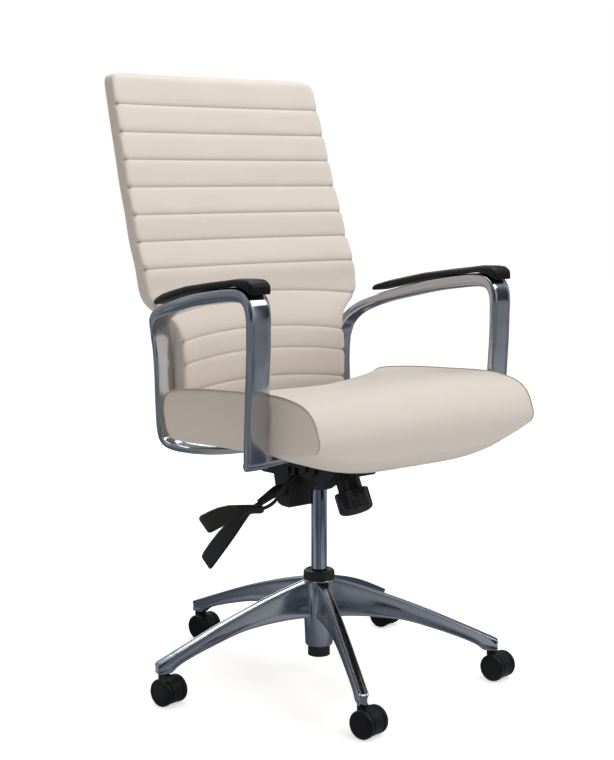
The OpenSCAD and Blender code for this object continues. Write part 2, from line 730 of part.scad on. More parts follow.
module arm_frame_left() {
    color("#b9bcc2") mirror([1, 0, 0]) arm_frame();
}

// Stations of the pad: y, bottom z, thickness over pad_h, centre x offset, half width
pad_path = [[-194, 743.5, 1, 0, 18.5], [-191.5, 744, 1.55, 0, 20.5], [-183, 748.5, 1.55, 0, 21.5],
            [-168, 754.4, 1.12, 0, 22], [-144, 755, 1, 0, 22], [-118, 753, 0.87, 0, 22],
            [-69, 746.2, 0.92, 0, 22], [0, 735.6, 0.97, -2, 22], [50, 724.5, 1.04, -6.5, 21.2],
            [90, 714.4, 1.15, -12, 20], [122, 706.8, 1.02, -19.5, 18.5], [129, 707, 0.75, -21.5, 16.5]];

module arm_pad() {
    skin([for (s = pad_path) let (x = arm_x + s[3], h = s[2] * pad_h, top = s[1] + h, e = min(3.2, h / 3)) [
        [x - s[4], s[0], s[1]], [x, s[0], s[1] - 0.2], [x + s[4], s[0], s[1]],
        [x + s[4] + 0.8, s[0], s[1] + e], [x + s[4] + 0.8, s[0], top - 1.9 * e], [x + s[4] - 1.2, s[0], top - 0.7 * e],
        [x + s[4] - 5, s[0], top], [x, s[0], top + 0.8], [x - s[4] + 5, s[0], top],
        [x - s[4] + 1.2, s[0], top - 0.7 * e], [x - s[4] - 0.8, s[0], top - 1.9 * e],
        [x - s[4] - 0.8, s[0], s[1] + e]]]);
}

module arm_pad_right() {
    color("#191919") arm_pad();
}

module arm_pad_left() {
    color("#191919") mirror([1, 0, 0]) arm_pad();
}

module arm_bolts() {
    color("#333333") for (s = [-1, 1], p = arm_bolt_at) translate([s * p[0], p[1], p[2]]) {
        translate([0, 0, -5]) cylinder(h = 5, r = 6);
        cylinder(h = 9.4 + pan_t - 1.5, r = arm_bolt_r);
    }
}

// ---------- back ----------

// Front face of the back at its side edges, (y, z), bottom to top
back_line = [[back_front_y, back_low_z], [156, 547], [157, 602], [165, 644], [176, 679], [187, 711], [199, 764],
             [220, 812], [254, 913], [285, 1015], [306, 1085], [314, back_top_z - 12], [320, back_top_z]];
// The lower back stands between the arms' rear legs
back_low_half = arm_x - rear_leg_in - rear_leg_w / 2 - 2.5;
back_axis_y = back_front_y - back_hollow_r;

// Half width that the hollow is measured over, at height z
function hollow_half(z) = mix(back_low_half, back_half_w - 5, ease((z - 640) / 90));

// Distance from the hollow's axis to the middle of the front face, at a point of back_line
function hollow_radius(p) = norm([p[0] - back_axis_y, hollow_half(p[1])]);

// Layer of the back between two depths behind its front face, hollow across
module back_layer(d0, d1) {
    line = [for (p = back_line) [hollow_radius(p), p[1]]];
    translate([0, back_axis_y, 0]) rotate_extrude($fn = 1200) polygon(concat(
        [for (p = line) [p[0] + d0, p[1]]],
        [for (k = [len(line) - 1 : -1 : 0]) [line[k][0] + d1, line[k][1]]]));
}

// Front outline (x, z), inset by e
module back_outline(e) {
    hw = back_half_w - e;
    low = back_low_half - e;
    corner = 28;
    right = concat([[low, back_low_z + e], [low, 640]], curve([low, 640], [low + 2, 672], [mix(low, hw, 0.6), 690], 4),
        curve([mix(low, hw, 0.6), 690], [hw, 700], [hw, 740], 4), [[hw, 800], [hw - 11, back_top_z - corner - e]],
        [for (k = [1 : 5]) [hw - 12 - corner * (1 - cos(15 * k)), back_top_z - e - corner * (1 - sin(15 * k))]],
        [[hw - 12 - corner, back_top_z - e]]);
    polygon(concat(right, [for (k = [len(right) - 1 : -1 : 0]) [-right[k][0], right[k][1]]]));
}

// Foam, shell and rear panel, front to rear, with the gaps between them
shell_t = 8;
panel_t = 6.2;
layer_gap = 0.4;
panel_depth = back_thick - panel_t;
shell_depth = panel_depth - layer_gap - shell_t;

module back_cushion() {
    color("#dccfc0") intersection() {
        back_layer(0, shell_depth - layer_gap);
        extrude_y(100, 400) back_outline(0);
    }
}

module back_shell() {
    color("#a58a63") difference() {
        intersection() {
            back_layer(shell_depth, shell_depth + shell_t);
            extrude_y(100, 400) back_outline(8);
        }
        back_bolt_holes();
    }
}

module back_panel() {
    color("#d6c9ba") difference() {
        intersection() {
            back_layer(panel_depth, back_thick);
            extrude_y(100, 400) back_outline(1);
        }
        // opening around the bracket
        translate([-bracket_half - 1, 90, 400]) cube([2 * bracket_half + 2, 420, bracket_top_z - 399]);
    }
}

bracket_y = back_axis_y + hollow_radius([back_front_y + 1, back_low_z]) + panel_depth;
bracket_half = 100;
bracket_top_z = 575;
back_bolt_x = [-70, 70];
back_bolt_z = [522, 552];
back_bolt_r = 3.1;

module back_bracket() {
    z0 = plate_top_z - flange_t - bracket_t;
    color("#1a1a1a") difference() {
        union() {
            translate([-bracket_half, bracket_y, z0]) cube([2 * bracket_half, bracket_t, bracket_top_z - z0]);
            translate([-bracket_half, plate_rear_y - 36, z0])
                cube([2 * bracket_half, bracket_y + bracket_t - plate_rear_y + 36, bracket_t]);
            // stiffening ribs in the corner
            for (x = [-60, 60]) translate([x, 0, 0]) extrude_x(4)
                polygon([[plate_rear_y + 10, z0 + 1], [bracket_y + 1, z0 + 1], [bracket_y + 1, z0 + 50]]);
        }
        back_bolt_holes();
        // slots over the plate's side flanges
        for (s = [-1, 1]) translate([s * (flange_x + flange_t / 2) - flange_t / 2 - 0.5, plate_rear_y - 40, z0 - 1])
            cube([flange_t + 1, flange_rear_y - plate_rear_y + 40.5, bracket_t + 2]);
        for (x = [-plate_bolt_x, plate_bolt_x])
            translate([x, plate_bolt_y[1], z0 - 1]) cylinder(h = 20, r = plate_bolt_r + fit);
    }
}

module back_bolt_holes() {
    for (x = back_bolt_x, z = back_bolt_z) translate([x, 100, z]) rotate([-90, 0, 0])
        cylinder(h = 140, r = back_bolt_r + fit);
}

module back_bolts() {
    color("#333333") for (x = back_bolt_x, z = back_bolt_z) translate([x, 0, z]) rotate([-90, 0, 0]) {
        translate([0, 0, bracket_y + bracket_t]) cylinder(h = 4, r = 5.5);
        translate([0, 0, bracket_y - 7]) cylinder(h = 7 + bracket_t, r = back_bolt_r);
    }
}

// ---------- output ----------

base_star();
hub_collar();
lift_tube();
lift_base_clip();
thrust_bearing();
lift_buffer();
guide_bush();
caster_stems();
for (i = [1 : leg_count]) {
    caster_hood(i);
    caster_axle(i);
    caster_wheel(i, -1);
    caster_wheel(i, 1);
}
piston_rod();
lift_cylinder();
release_pin();
mechanism_housing();
spring_housing();
tilt_axle();
tension_spring();
tension_bolt();
tension_knob();
height_lever();
height_paddle();
lock_lever();
lock_boot();
seat_plate();
seat_plate_bolts();
seat_pan();
seat_cushion();
arm_frame_right();
arm_frame_left();
arm_pad_right();
arm_pad_left();
arm_bolts();
back_bracket();
back_bolts();
back_shell();
back_cushion();
back_panel();
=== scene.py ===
"""A high-back swivel office chair in cream leather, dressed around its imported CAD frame."""
import json
import logging
import math
from dataclasses import dataclass, field
from enum import Enum
from typing import Sequence

import bmesh
import bpy
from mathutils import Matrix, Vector, noise


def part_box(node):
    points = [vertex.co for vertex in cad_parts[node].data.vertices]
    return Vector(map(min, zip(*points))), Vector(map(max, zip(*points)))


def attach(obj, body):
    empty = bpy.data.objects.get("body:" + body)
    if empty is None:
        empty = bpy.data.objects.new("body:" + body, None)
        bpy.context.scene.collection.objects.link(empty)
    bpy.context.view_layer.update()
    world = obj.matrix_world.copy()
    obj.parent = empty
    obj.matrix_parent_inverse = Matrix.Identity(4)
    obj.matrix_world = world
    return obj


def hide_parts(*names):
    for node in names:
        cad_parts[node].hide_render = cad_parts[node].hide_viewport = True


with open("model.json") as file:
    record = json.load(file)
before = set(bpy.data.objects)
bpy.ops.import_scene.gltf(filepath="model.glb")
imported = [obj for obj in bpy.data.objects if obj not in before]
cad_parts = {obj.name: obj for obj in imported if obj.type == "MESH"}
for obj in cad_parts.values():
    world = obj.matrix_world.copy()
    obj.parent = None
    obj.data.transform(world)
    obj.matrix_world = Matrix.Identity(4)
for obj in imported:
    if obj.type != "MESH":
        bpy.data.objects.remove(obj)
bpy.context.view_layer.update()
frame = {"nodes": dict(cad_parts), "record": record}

logging.basicConfig(level=logging.INFO, format="%(name)s: %(message)s")
LOG = logging.getLogger("chair")

MM = 0.001
SEAT_BODY = "seat_unit"
CUSHION_SLOT = "cream_leather"

Point = tuple[float, ...]
Station = tuple[float, ...]
Shape = tuple[list[Point], list[list[int]]]


# ---------- shared helpers ----------


def linear(hex_colour: str) -> tuple[float, float, float, float]:
    """Turn an sRGB hex colour into the linear RGBA that shaders take.

    Args:
        hex_colour: Six hex digits after a hash, such as "#dccfc0".

    Returns:
        Linear red, green, blue and an alpha of 1.
    """
    parts = [int(hex_colour[i : i + 2], 16) / 255 for i in (1, 3, 5)]
    rgb = [c / 12.92 if c <= 0.04045 else ((c + 0.055) / 1.055) ** 2.4 for c in parts]
    return rgb[0], rgb[1], rgb[2], 1.0


def add_node(
    tree: bpy.types.NodeTree,
    kind: str,
    settings: dict[str, object] | None = None,
    links: dict[str | int, bpy.types.NodeSocket] | None = None,
) -> bpy.types.Node:
    """Add one node to a tree, set it up and link its inputs.

    Args:
        tree: Node tree to add to.
        kind: Node type's identifier.
        settings: Values by input name, or by attribute name where the node has such an attribute.
        links: Output sockets by the name or number of the input that each feeds.

    Returns:
        The new node.
    """
    made = tree.nodes.new(kind)
    for name, value in (settings or {}).items():
        if hasattr(made, name):
            setattr(made, name, value)
        else:
            made.inputs[name].default_value = value
    for name, socket in (links or {}).items():
        tree.links.new(socket, made.inputs[name])
    return made


def add_noise(
    tree: bpy.types.NodeTree, place: bpy.types.NodeSocket, size_mm: float, detail: float
) -> bpy.types.Node:
    """Add noise whose blotches have a real size.

    Args:
        tree: Node tree to add to.
        place: Coordinates' socket.
        size_mm: Size of a blotch in millimetres.
        detail: Layers of finer noise.

    Returns:
        The noise node.
    """
    settings = {"Scale": 1 / (size_mm * MM), "Detail": detail}
    return add_node(tree, "ShaderNodeTexNoise", settings, {"Vector": place})


def add_relief(
    tree: bpy.types.NodeTree,
    shader: bpy.types.Node,
    height: bpy.types.NodeSocket,
    strength: float,
    depth_mm: float,
) -> None:
    """Raise a shader's surface by a pattern.

    Args:
        tree: Node tree to add to.
        shader: Shader whose normal is changed.
        height: Pattern's height socket.
        strength: Share of the relief that is used.
        depth_mm: Depth of the relief in millimetres.
    """
    settings = {"Strength": strength, "Distance": depth_mm * MM}
    bump = add_node(tree, "ShaderNodeBump", settings, {"Height": height})
    tree.links.new(bump.outputs["Normal"], shader.inputs["Normal"])


def set_ramp(ramp: bpy.types.Node, stops: Sequence[tuple[float, str]]) -> None:
    """Give a colour ramp its stops.

    Args:
        ramp: Colour ramp node.
        stops: Place from 0 to 1 and sRGB hex colour of each stop, in order.
    """
    elements = ramp.color_ramp.elements
    while len(elements) < len(stops):
        elements.new(0.5)
    for element, (place, colour) in zip(elements, stops):
        element.position = place
        element.color = linear(colour)


def mix(a: float, b: float, t: float) -> float:
    """Value between a and b at t from 0 to 1."""
    return a + (b - a) * t


def ease(t: float) -> float:
    """Smooth step from 0 to 1 as t goes from 0 to 1."""
    t = min(max(t, 0.0), 1.0)
    return t * t * (3 - 2 * t)


def spline(points: Sequence[Station], u: float) -> Station:
    """Point on a smooth curve through stations.

    Args:
        points: Stations that the curve passes through, each a tuple of the same length.
        u: Place along the curve from 0 to 1.

    Returns:
        The station at that place.
    """
    u = min(max(u, 0.0), 1.0) * (len(points) - 1)
    i = min(int(u), len(points) - 2)
    t = u - i
    last = len(points) - 1
    a, b, c, d = (points[min(max(k, 0), last)] for k in range(i - 1, i + 3))
    return tuple(
        0.5 * (2 * q + (r - p) * t + (2 * p - 5 * q + 4 * r - s) * t * t + (3 * q - p - 3 * r + s) * t**3)
        for p, q, r, s in zip(a, b, c, d)
    )


def along(points: Sequence[Station], key: float) -> Station:
    """Station at a given first value, on a smooth curve through stations sorted by that value.

    Args:
        points: Stations in rising order of their first value.
        key: First value to look up.

    Returns:
        The station there.
    """
    last = len(points) - 1
    i = next((k for k in range(last) if points[k + 1][0] >= key), last - 1)
    lo, hi = i / last, (i + 1) / last
    for _ in range(24):
        middle = (lo + hi) / 2
        lo, hi = (middle, hi) if spline(points, middle)[0] < key else (lo, middle)
    return spline(points, (lo + hi) / 2)


def mesh_piece(name: str, points: Sequence[Point], faces: Sequence[Sequence[int]]) -> bpy.types.Object:
    """Make a smooth-shaded mesh object from points in millimetres.

    Args:
        name: Name of the piece.
        points: Vertices in millimetres, in the chair's frame.
        faces: Vertex numbers of each face.

    Returns:
        The new object, linked to the scene, with its normals facing out.
    """
    mesh = bpy.data.meshes.new(name)
    mesh.from_pydata([Vector(p) * MM for p in points], [], faces)
    work = bmesh.new()
    work.from_mesh(mesh)
    bmesh.ops.remove_doubles(work, verts=work.verts, dist=0.02 * MM)
    bmesh.ops.recalc_face_normals(work, faces=work.faces)
    for face in work.faces:
        face.smooth = True
    work.to_mesh(mesh)
    work.free()
    made = bpy.data.objects.new(name, mesh)
    bpy.context.scene.collection.objects.link(made)
    return made


def loft(rings: Sequence[Sequence[Point]]) -> Shape:
    """Join closed rings of points with quads.

    Args:
        rings: Rings that hold the same number of points.

    Returns:
        All points, and the faces between the rings.
    """
    count = len(rings[0])
    points = [p for ring in rings for p in ring]
    faces = []
    for j in range(len(rings) - 1):
        for i in range(count):
            k = (i + 1) % count
            faces.append([j * count + i, j * count + k, (j + 1) * count + k, (j + 1) * count + i])
    return points, faces


def add_rings(
    points: list[Point], faces: list[list[int]], rings: Sequence[Sequence[Point]], capped: bool
) -> None:
    """Add lofted rings to a shape.

    Args:
        points: Points of the shape so far, in millimetres.
        faces: Faces of the shape so far.
        rings: Rings that hold the same number of points.
        capped: Whether both ends are closed.
    """
    more, joins = loft(rings)
    base, count = len(points), len(rings[0])
    points += more
    faces += [[base + k for k in face] for face in joins]
    if capped:
        faces += [[base + k for k in range(count)], [base + len(more) - count + k for k in range(count)]]


def swept_cord(path: Sequence[Point], radius: float, sides: int = 8) -> Shape:
    """Round cord along a path, closed at both ends.

    Args:
        path: Points of the cord's centre line, in millimetres.
        radius: Radius in millimetres.
        sides: Points round the cord.

    Returns:
        Points and faces.
    """
    centre = [Vector(p) for p in path]
    rings = []
    side = Vector((1.0, 0.0, 0.0))
    for j, here in enumerate(centre):
        way = (centre[min(j + 1, len(centre) - 1)] - centre[max(j - 1, 0)]).normalized()
        side = (side - way * side.dot(way)).normalized()
        up = way.cross(side)
        size = radius * (0.35 if j in (0, len(centre) - 1) else 1.0)
        turns = [2 * math.pi * k / sides for k in range(sides)]
        rings.append([tuple(here + side * size * math.cos(a) + up * size * math.sin(a)) for a in turns])
    points, faces = [], []
    add_rings(points, faces, rings, capped=True)
    return points, faces


def refine(piece: bpy.types.Object, levels: int) -> None:
    """Add a subdivision surface to a piece."""
    modifier = piece.modifiers.new("soften", "SUBSURF")
    modifier.levels = levels
    modifier.render_levels = levels


def dress(piece: bpy.types.Object, material: bpy.types.Material) -> None:
    """Give every face of a piece one material."""
    piece.data.materials.clear()
    piece.data.materials.append(material)


def box_mm(node: str) -> tuple[Vector, Vector]:
    """Lowest and highest corners of a CAD node, in millimetres."""
    low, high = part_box(node)
    return Vector(low) / MM, Vector(high) / MM


# ---------- finishes ----------


class Sheen(Enum):
    """How a moulded surface leaves its tool."""

    MATT = 0.62
    SATIN = 0.42
    SOFT_GLOSS = 0.27
    GLOSS = 0.16


Started = tuple[bpy.types.Material, bpy.types.NodeTree, bpy.types.Node, bpy.types.NodeSocket]


@dataclass(frozen=True)
class Finish:
    """A surface finish: what it is made of and how its surface was made."""

    name: str
    colour: str

    def start(self) -> Started:
        """Start the material with its shader and object coordinates.

        Returns:
            The material, its tree, its principled shader and the coordinates' socket.
        """
        material = bpy.data.materials.new(self.name)
        material.use_nodes = True
        tree = material.node_tree
        shader = tree.nodes["Principled BSDF"]
        shader.inputs["Base Color"].default_value = linear(self.colour)
        place = add_node(tree, "ShaderNodeTexCoord").outputs["Object"]
        return material, tree, shader, place

    def build(self) -> bpy.types.Material:
        """Make the material."""
        return self.start()[0]


@dataclass(frozen=True)
class GrainedLeather(Finish):
    """Pigmented cowhide with a pressed pebble grain: soft satin highlights over a fine, uneven surface."""

    shade: str = "#cdbcab"
    pebble_mm: float = 1.8
    pore_mm: float = 0.9
    mottle_mm: float = 90.0
    roughness: float = 0.47

    def build(self) -> bpy.types.Material:
        """Make the leather.

        The real pebbles are under 1 mm; they are drawn at pebble_mm so that they show.

        Returns:
            The material.
        """
        material, tree, shader, place = self.start()
        tone = add_noise(tree, place, self.mottle_mm, 3.0)
        ramp = add_node(tree, "ShaderNodeValToRGB", None, {"Fac": tone.outputs["Fac"]})
        set_ramp(ramp, [(0.25, self.shade), (0.62, self.colour)])
        pebbles = add_node(
            tree,
            "ShaderNodeTexVoronoi",
            {"feature": "DISTANCE_TO_EDGE", "Scale": 1 / (self.pebble_mm * MM)},
            {"Vector": place},
        )
        valley = add_node(tree, "ShaderNodeMapRange", {"From Max": 0.22}, {"Value": pebbles.outputs[0]})
        # painted shade: the base colour is darkened by up to 5% in the grain's valleys
        valley_painted_shade = add_node(
            tree,
            "ShaderNodeMixRGB",
            {"blend_type": "MULTIPLY", "Fac": 0.05},
            {1: ramp.outputs["Color"], 2: valley.outputs["Result"]},
        )
        tree.links.new(valley_painted_shade.outputs["Color"], shader.inputs["Base Color"])
        pores = add_noise(tree, place, self.pore_mm, 2.0)
        height = add_node(
            tree,
            "ShaderNodeMath",
            {"operation": "MULTIPLY_ADD"},
            {0: pores.outputs["Fac"], 2: valley.outputs["Result"]},
        )
        height.inputs[1].default_value = 0.5
        add_relief(tree, shader, height.outputs["Value"], 0.14, 0.22)
        gloss = add_node(
            tree,
            "ShaderNodeMapRange",
            {"To Min": self.roughness + 0.08, "To Max": self.roughness - 0.04},
            {"Value": tone.outputs["Fac"]},
        )
        tree.links.new(gloss.outputs["Result"], shader.inputs["Roughness"])
        shader.inputs["IOR"].default_value = 1.48
        shader.inputs["Sheen Weight"].default_value = 0.08
        shader.inputs["Sheen Roughness"].default_value = 0.5
        shader.inputs["Subsurface Weight"].default_value = 0.04
        shader.inputs["Subsurface Scale"].default_value = 2.0 * MM
        return material


@dataclass(frozen=True)
class PolishedMetal(Finish):
    """Buffed metal: mirror-like, with faint haze and shallow waves that stretch reflections."""

    roughness: float = 0.11
    smear_mm: float = 18.0
    wave_mm: float = 26.0
    wave_depth_mm: float = 0.06
    haze: float = 0.08

    def build(self) -> bpy.types.Material:
        """Make the polished metal.

        Returns:
            The material.
        """
        material, tree, shader, place = self.start()
        shader.inputs["Metallic"].default_value = 1.0
        clear = self.roughness
        smear = add_noise(tree, place, self.smear_mm, 4.0)
        haze = add_node(
            tree,
            "ShaderNodeMapRange",
            {"From Min": 0.3, "From Max": 0.7, "To Min": clear, "To Max": clear + self.haze},
            {"Value": smear.outputs["Fac"]},
        )
        tree.links.new(haze.outputs["Result"], shader.inputs["Roughness"])
        waves = add_noise(tree, place, self.wave_mm, 1.0)
        add_relief(tree, shader, waves.outputs["Fac"], 1.0, self.wave_depth_mm)
        return material


@dataclass(frozen=True)
class MouldedPolymer(Finish):
    """Injection-moulded or cast polymer with a spark-eroded texture: dark, with a soft highlight."""

    sheen: Sheen = Sheen.SATIN
    texture_mm: float = 0.9
    texture_depth_mm: float = 0.03
    worn: str = "#2c2b2a"
    ior: float = 1.5
    cloud_mm: float = 30.0

    def build(self) -> bpy.types.Material:
        """Make the moulded surface.

        Returns:
            The material.
        """
        material, tree, shader, place = self.start()
        cloudy = add_noise(tree, place, self.cloud_mm, 4.0)
        ramp = add_node(tree, "ShaderNodeValToRGB", None, {"Fac": cloudy.outputs["Fac"]})
        set_ramp(ramp, [(0.35, self.colour), (0.85, self.worn)])
        tree.links.new(ramp.outputs["Color"], shader.inputs["Base Color"])
        spark = add_noise(tree, place, self.texture_mm, 2.0)
        add_relief(tree, shader, spark.outputs["Fac"], 0.5, self.texture_depth_mm)
        gloss = add_node(
            tree,
            "ShaderNodeMapRange",
            {"To Min": self.sheen.value - 0.05, "To Max": self.sheen.value + 0.08},
            {"Value": cloudy.outputs["Fac"]},
        )
        tree.links.new(gloss.outputs["Result"], shader.inputs["Roughness"])
        shader.inputs["IOR"].default_value = self.ior
        return material


@dataclass(frozen=True)
class WorkedSteel(Finish):
    """Ground or blackened steel: metallic, with fine lines from the wheel along its length."""

    roughness: float = 0.3
    line_mm: float = 0.5

    def build(self) -> bpy.types.Material:
        """Make the steel.

        Returns:
            The material.
        """
        material, tree, shader, place = self.start()
        shader.inputs["Metallic"].default_value = 1.0
        stretched = add_node(tree, "ShaderNodeMapping", {"Scale": (1.0, 1.0, 0.06)}, {"Vector": place})
        lines = add_noise(tree, stretched.outputs["Vector"], self.line_mm, 3.0)
        haze = add_node(
            tree,
            "ShaderNodeMapRange",
            {"To Min": self.roughness - 0.06, "To Max": self.roughness + 0.12},
            {"Value": lines.outputs["Fac"]},
        )
        tree.links.new(haze.outputs["Result"], shader.inputs["Roughness"])
        add_relief(tree, shader, lines.outputs["Fac"], 0.3, 0.02)
        return material


@dataclass(frozen=True)
class MouldedPly(Finish):
    """Beech plywood pressed to shape: warm, with growth rings drawn out along the face."""

    dark: str = "#8a6a44"
    ring_mm: float = 7.0

    def build(self) -> bpy.types.Material:
        """Make the plywood.

        Returns:
            The material.
        """
        material, tree, shader, place = self.start()
        rings = add_node(
            tree,
            "ShaderNodeTexWave",
            {"Scale": 1 / (20 * self.ring_mm * MM), "Distortion": 6.0, "Detail": 3.0},
            {"Vector": place},
        )
        ramp = add_node(tree, "ShaderNodeValToRGB", None, {"Fac": rings.outputs["Fac"]})
        set_ramp(ramp, [(0.2, self.dark), (0.8, self.colour)])
        tree.links.new(ramp.outputs["Color"], shader.inputs["Base Color"])
        shader.inputs["Roughness"].default_value = 0.55
        return material


class FinishLibrary:
    """The chair's finishes, by the record's material slots."""

    # cast and buffed: mirror with streaky reflections
    CAST = PolishedMetal("buffed_cast_aluminium", "#bcc0c7")
    # chromed tube: cleaner and bluer mirror than the castings
    COLUMN = PolishedMetal("chromed_column_steel", "#b3bbc7", 0.09, wave_depth_mm=0.01, haze=0.03)
    # pigmented hide: soft satin over a fine grain
    LEATHER = GrainedLeather("pressed_grain_leather", "#dad1c8", shade="#d8cfc5")
    SLOTS: dict[str, Finish] = {
        "polished_aluminium": CAST,
        "polished_column": COLUMN,
        # glass-filled nylon housings: dark, broad soft highlight
        "satin_black_plastic": MouldedPolymer("satin_moulded_nylon", "#1b1b1c"),
        # polished tool: tight highlights on the knob's flutes
        "gloss_black_plastic": MouldedPolymer("gloss_moulded_abs", "#1b1b1b", Sheen.GLOSS, worn="#262525"),
        # powder coat: slight orange peel under a semi-gloss
        "black_paint": MouldedPolymer("powder_coated_steel", "#1a1a1b", Sheen.SOFT_GLOSS, 1.6, 0.06),
        # oiled and ground steel of bolts, pins and races: fine lines along the length
        "dark_steel": WorkedSteel("blackened_steel", "#4a4a4c", 0.36),
        "bright_steel": WorkedSteel("ground_steel", "#c9cacd", 0.22),
        # moulded rubber and nylon of the buffer, bush and clip: matt and satin
        "black_rubber": MouldedPolymer("moulded_rubber", "#191818", Sheen.MATT),
        "ivory_nylon": MouldedPolymer("natural_nylon", "#e4dec9", Sheen.SATIN, worn="#d8d0b6"),
        # caster mouldings: near black, so that only their edges catch light
        "black_nylon": MouldedPolymer("caster_hood_nylon", "#0b0b0c", worn="#121212", ior=1.4),
        "black_nylon_wheel": MouldedPolymer("caster_wheel_nylon", "#0a0a0b", worn="#101010", ior=1.4),
        "cream_leather": LEATHER,
        # integral-skin foam: smooth dark skin with a soft gloss
        "black_urethane": MouldedPolymer(
            "integral_skin_urethane", "#0c0c0d", Sheen.SATIN, 1.2, 0.02, worn="#131313", ior=1.36
        ),
        # pressed ply of the seat pan and shell: warm, with drawn-out rings
        "plywood": MouldedPly("pressed_beech_ply", "#bf9a69"),
    }

    def __init__(self) -> None:
        """Build every finish once."""
        self.materials = {slot: finish.build() for slot, finish in self.SLOTS.items()}
        # seam welts: the cream leather drawn darker, as painted shade along the seam line
        self.seam = GrainedLeather("leather_seam_painted_shade", "#b9aa9b", shade="#ad9d8d", roughness=0.6).build()

    def of(self, slot: str) -> bpy.types.Material:
        """Material of a slot."""
        return self.materials[slot]


# ---------- frame ----------


@dataclass
class DressedFrame:
    """The CAD nodes that stay in view, smoothed and given their real finishes."""

    finishes: FinishLibrary
    smooth_angle: float = 32.0

    def build(self) -> None:
        """Give each CAD node its slot's finish and smooth shading."""
        slots = {part["node"]: part["material_slot"] for part in frame["record"]["subparts"]}
        for name, node in frame["nodes"].items():
            dress(node, self.finishes.of(slots[name]))
            node.data.polygons.foreach_set("material_index", [0] * len(node.data.polygons))
            node.data.set_sharp_from_angle(angle=math.radians(self.smooth_angle))
        LOG.info("dressed %d frame nodes", len(frame["nodes"]))


# ---------- seat ----------


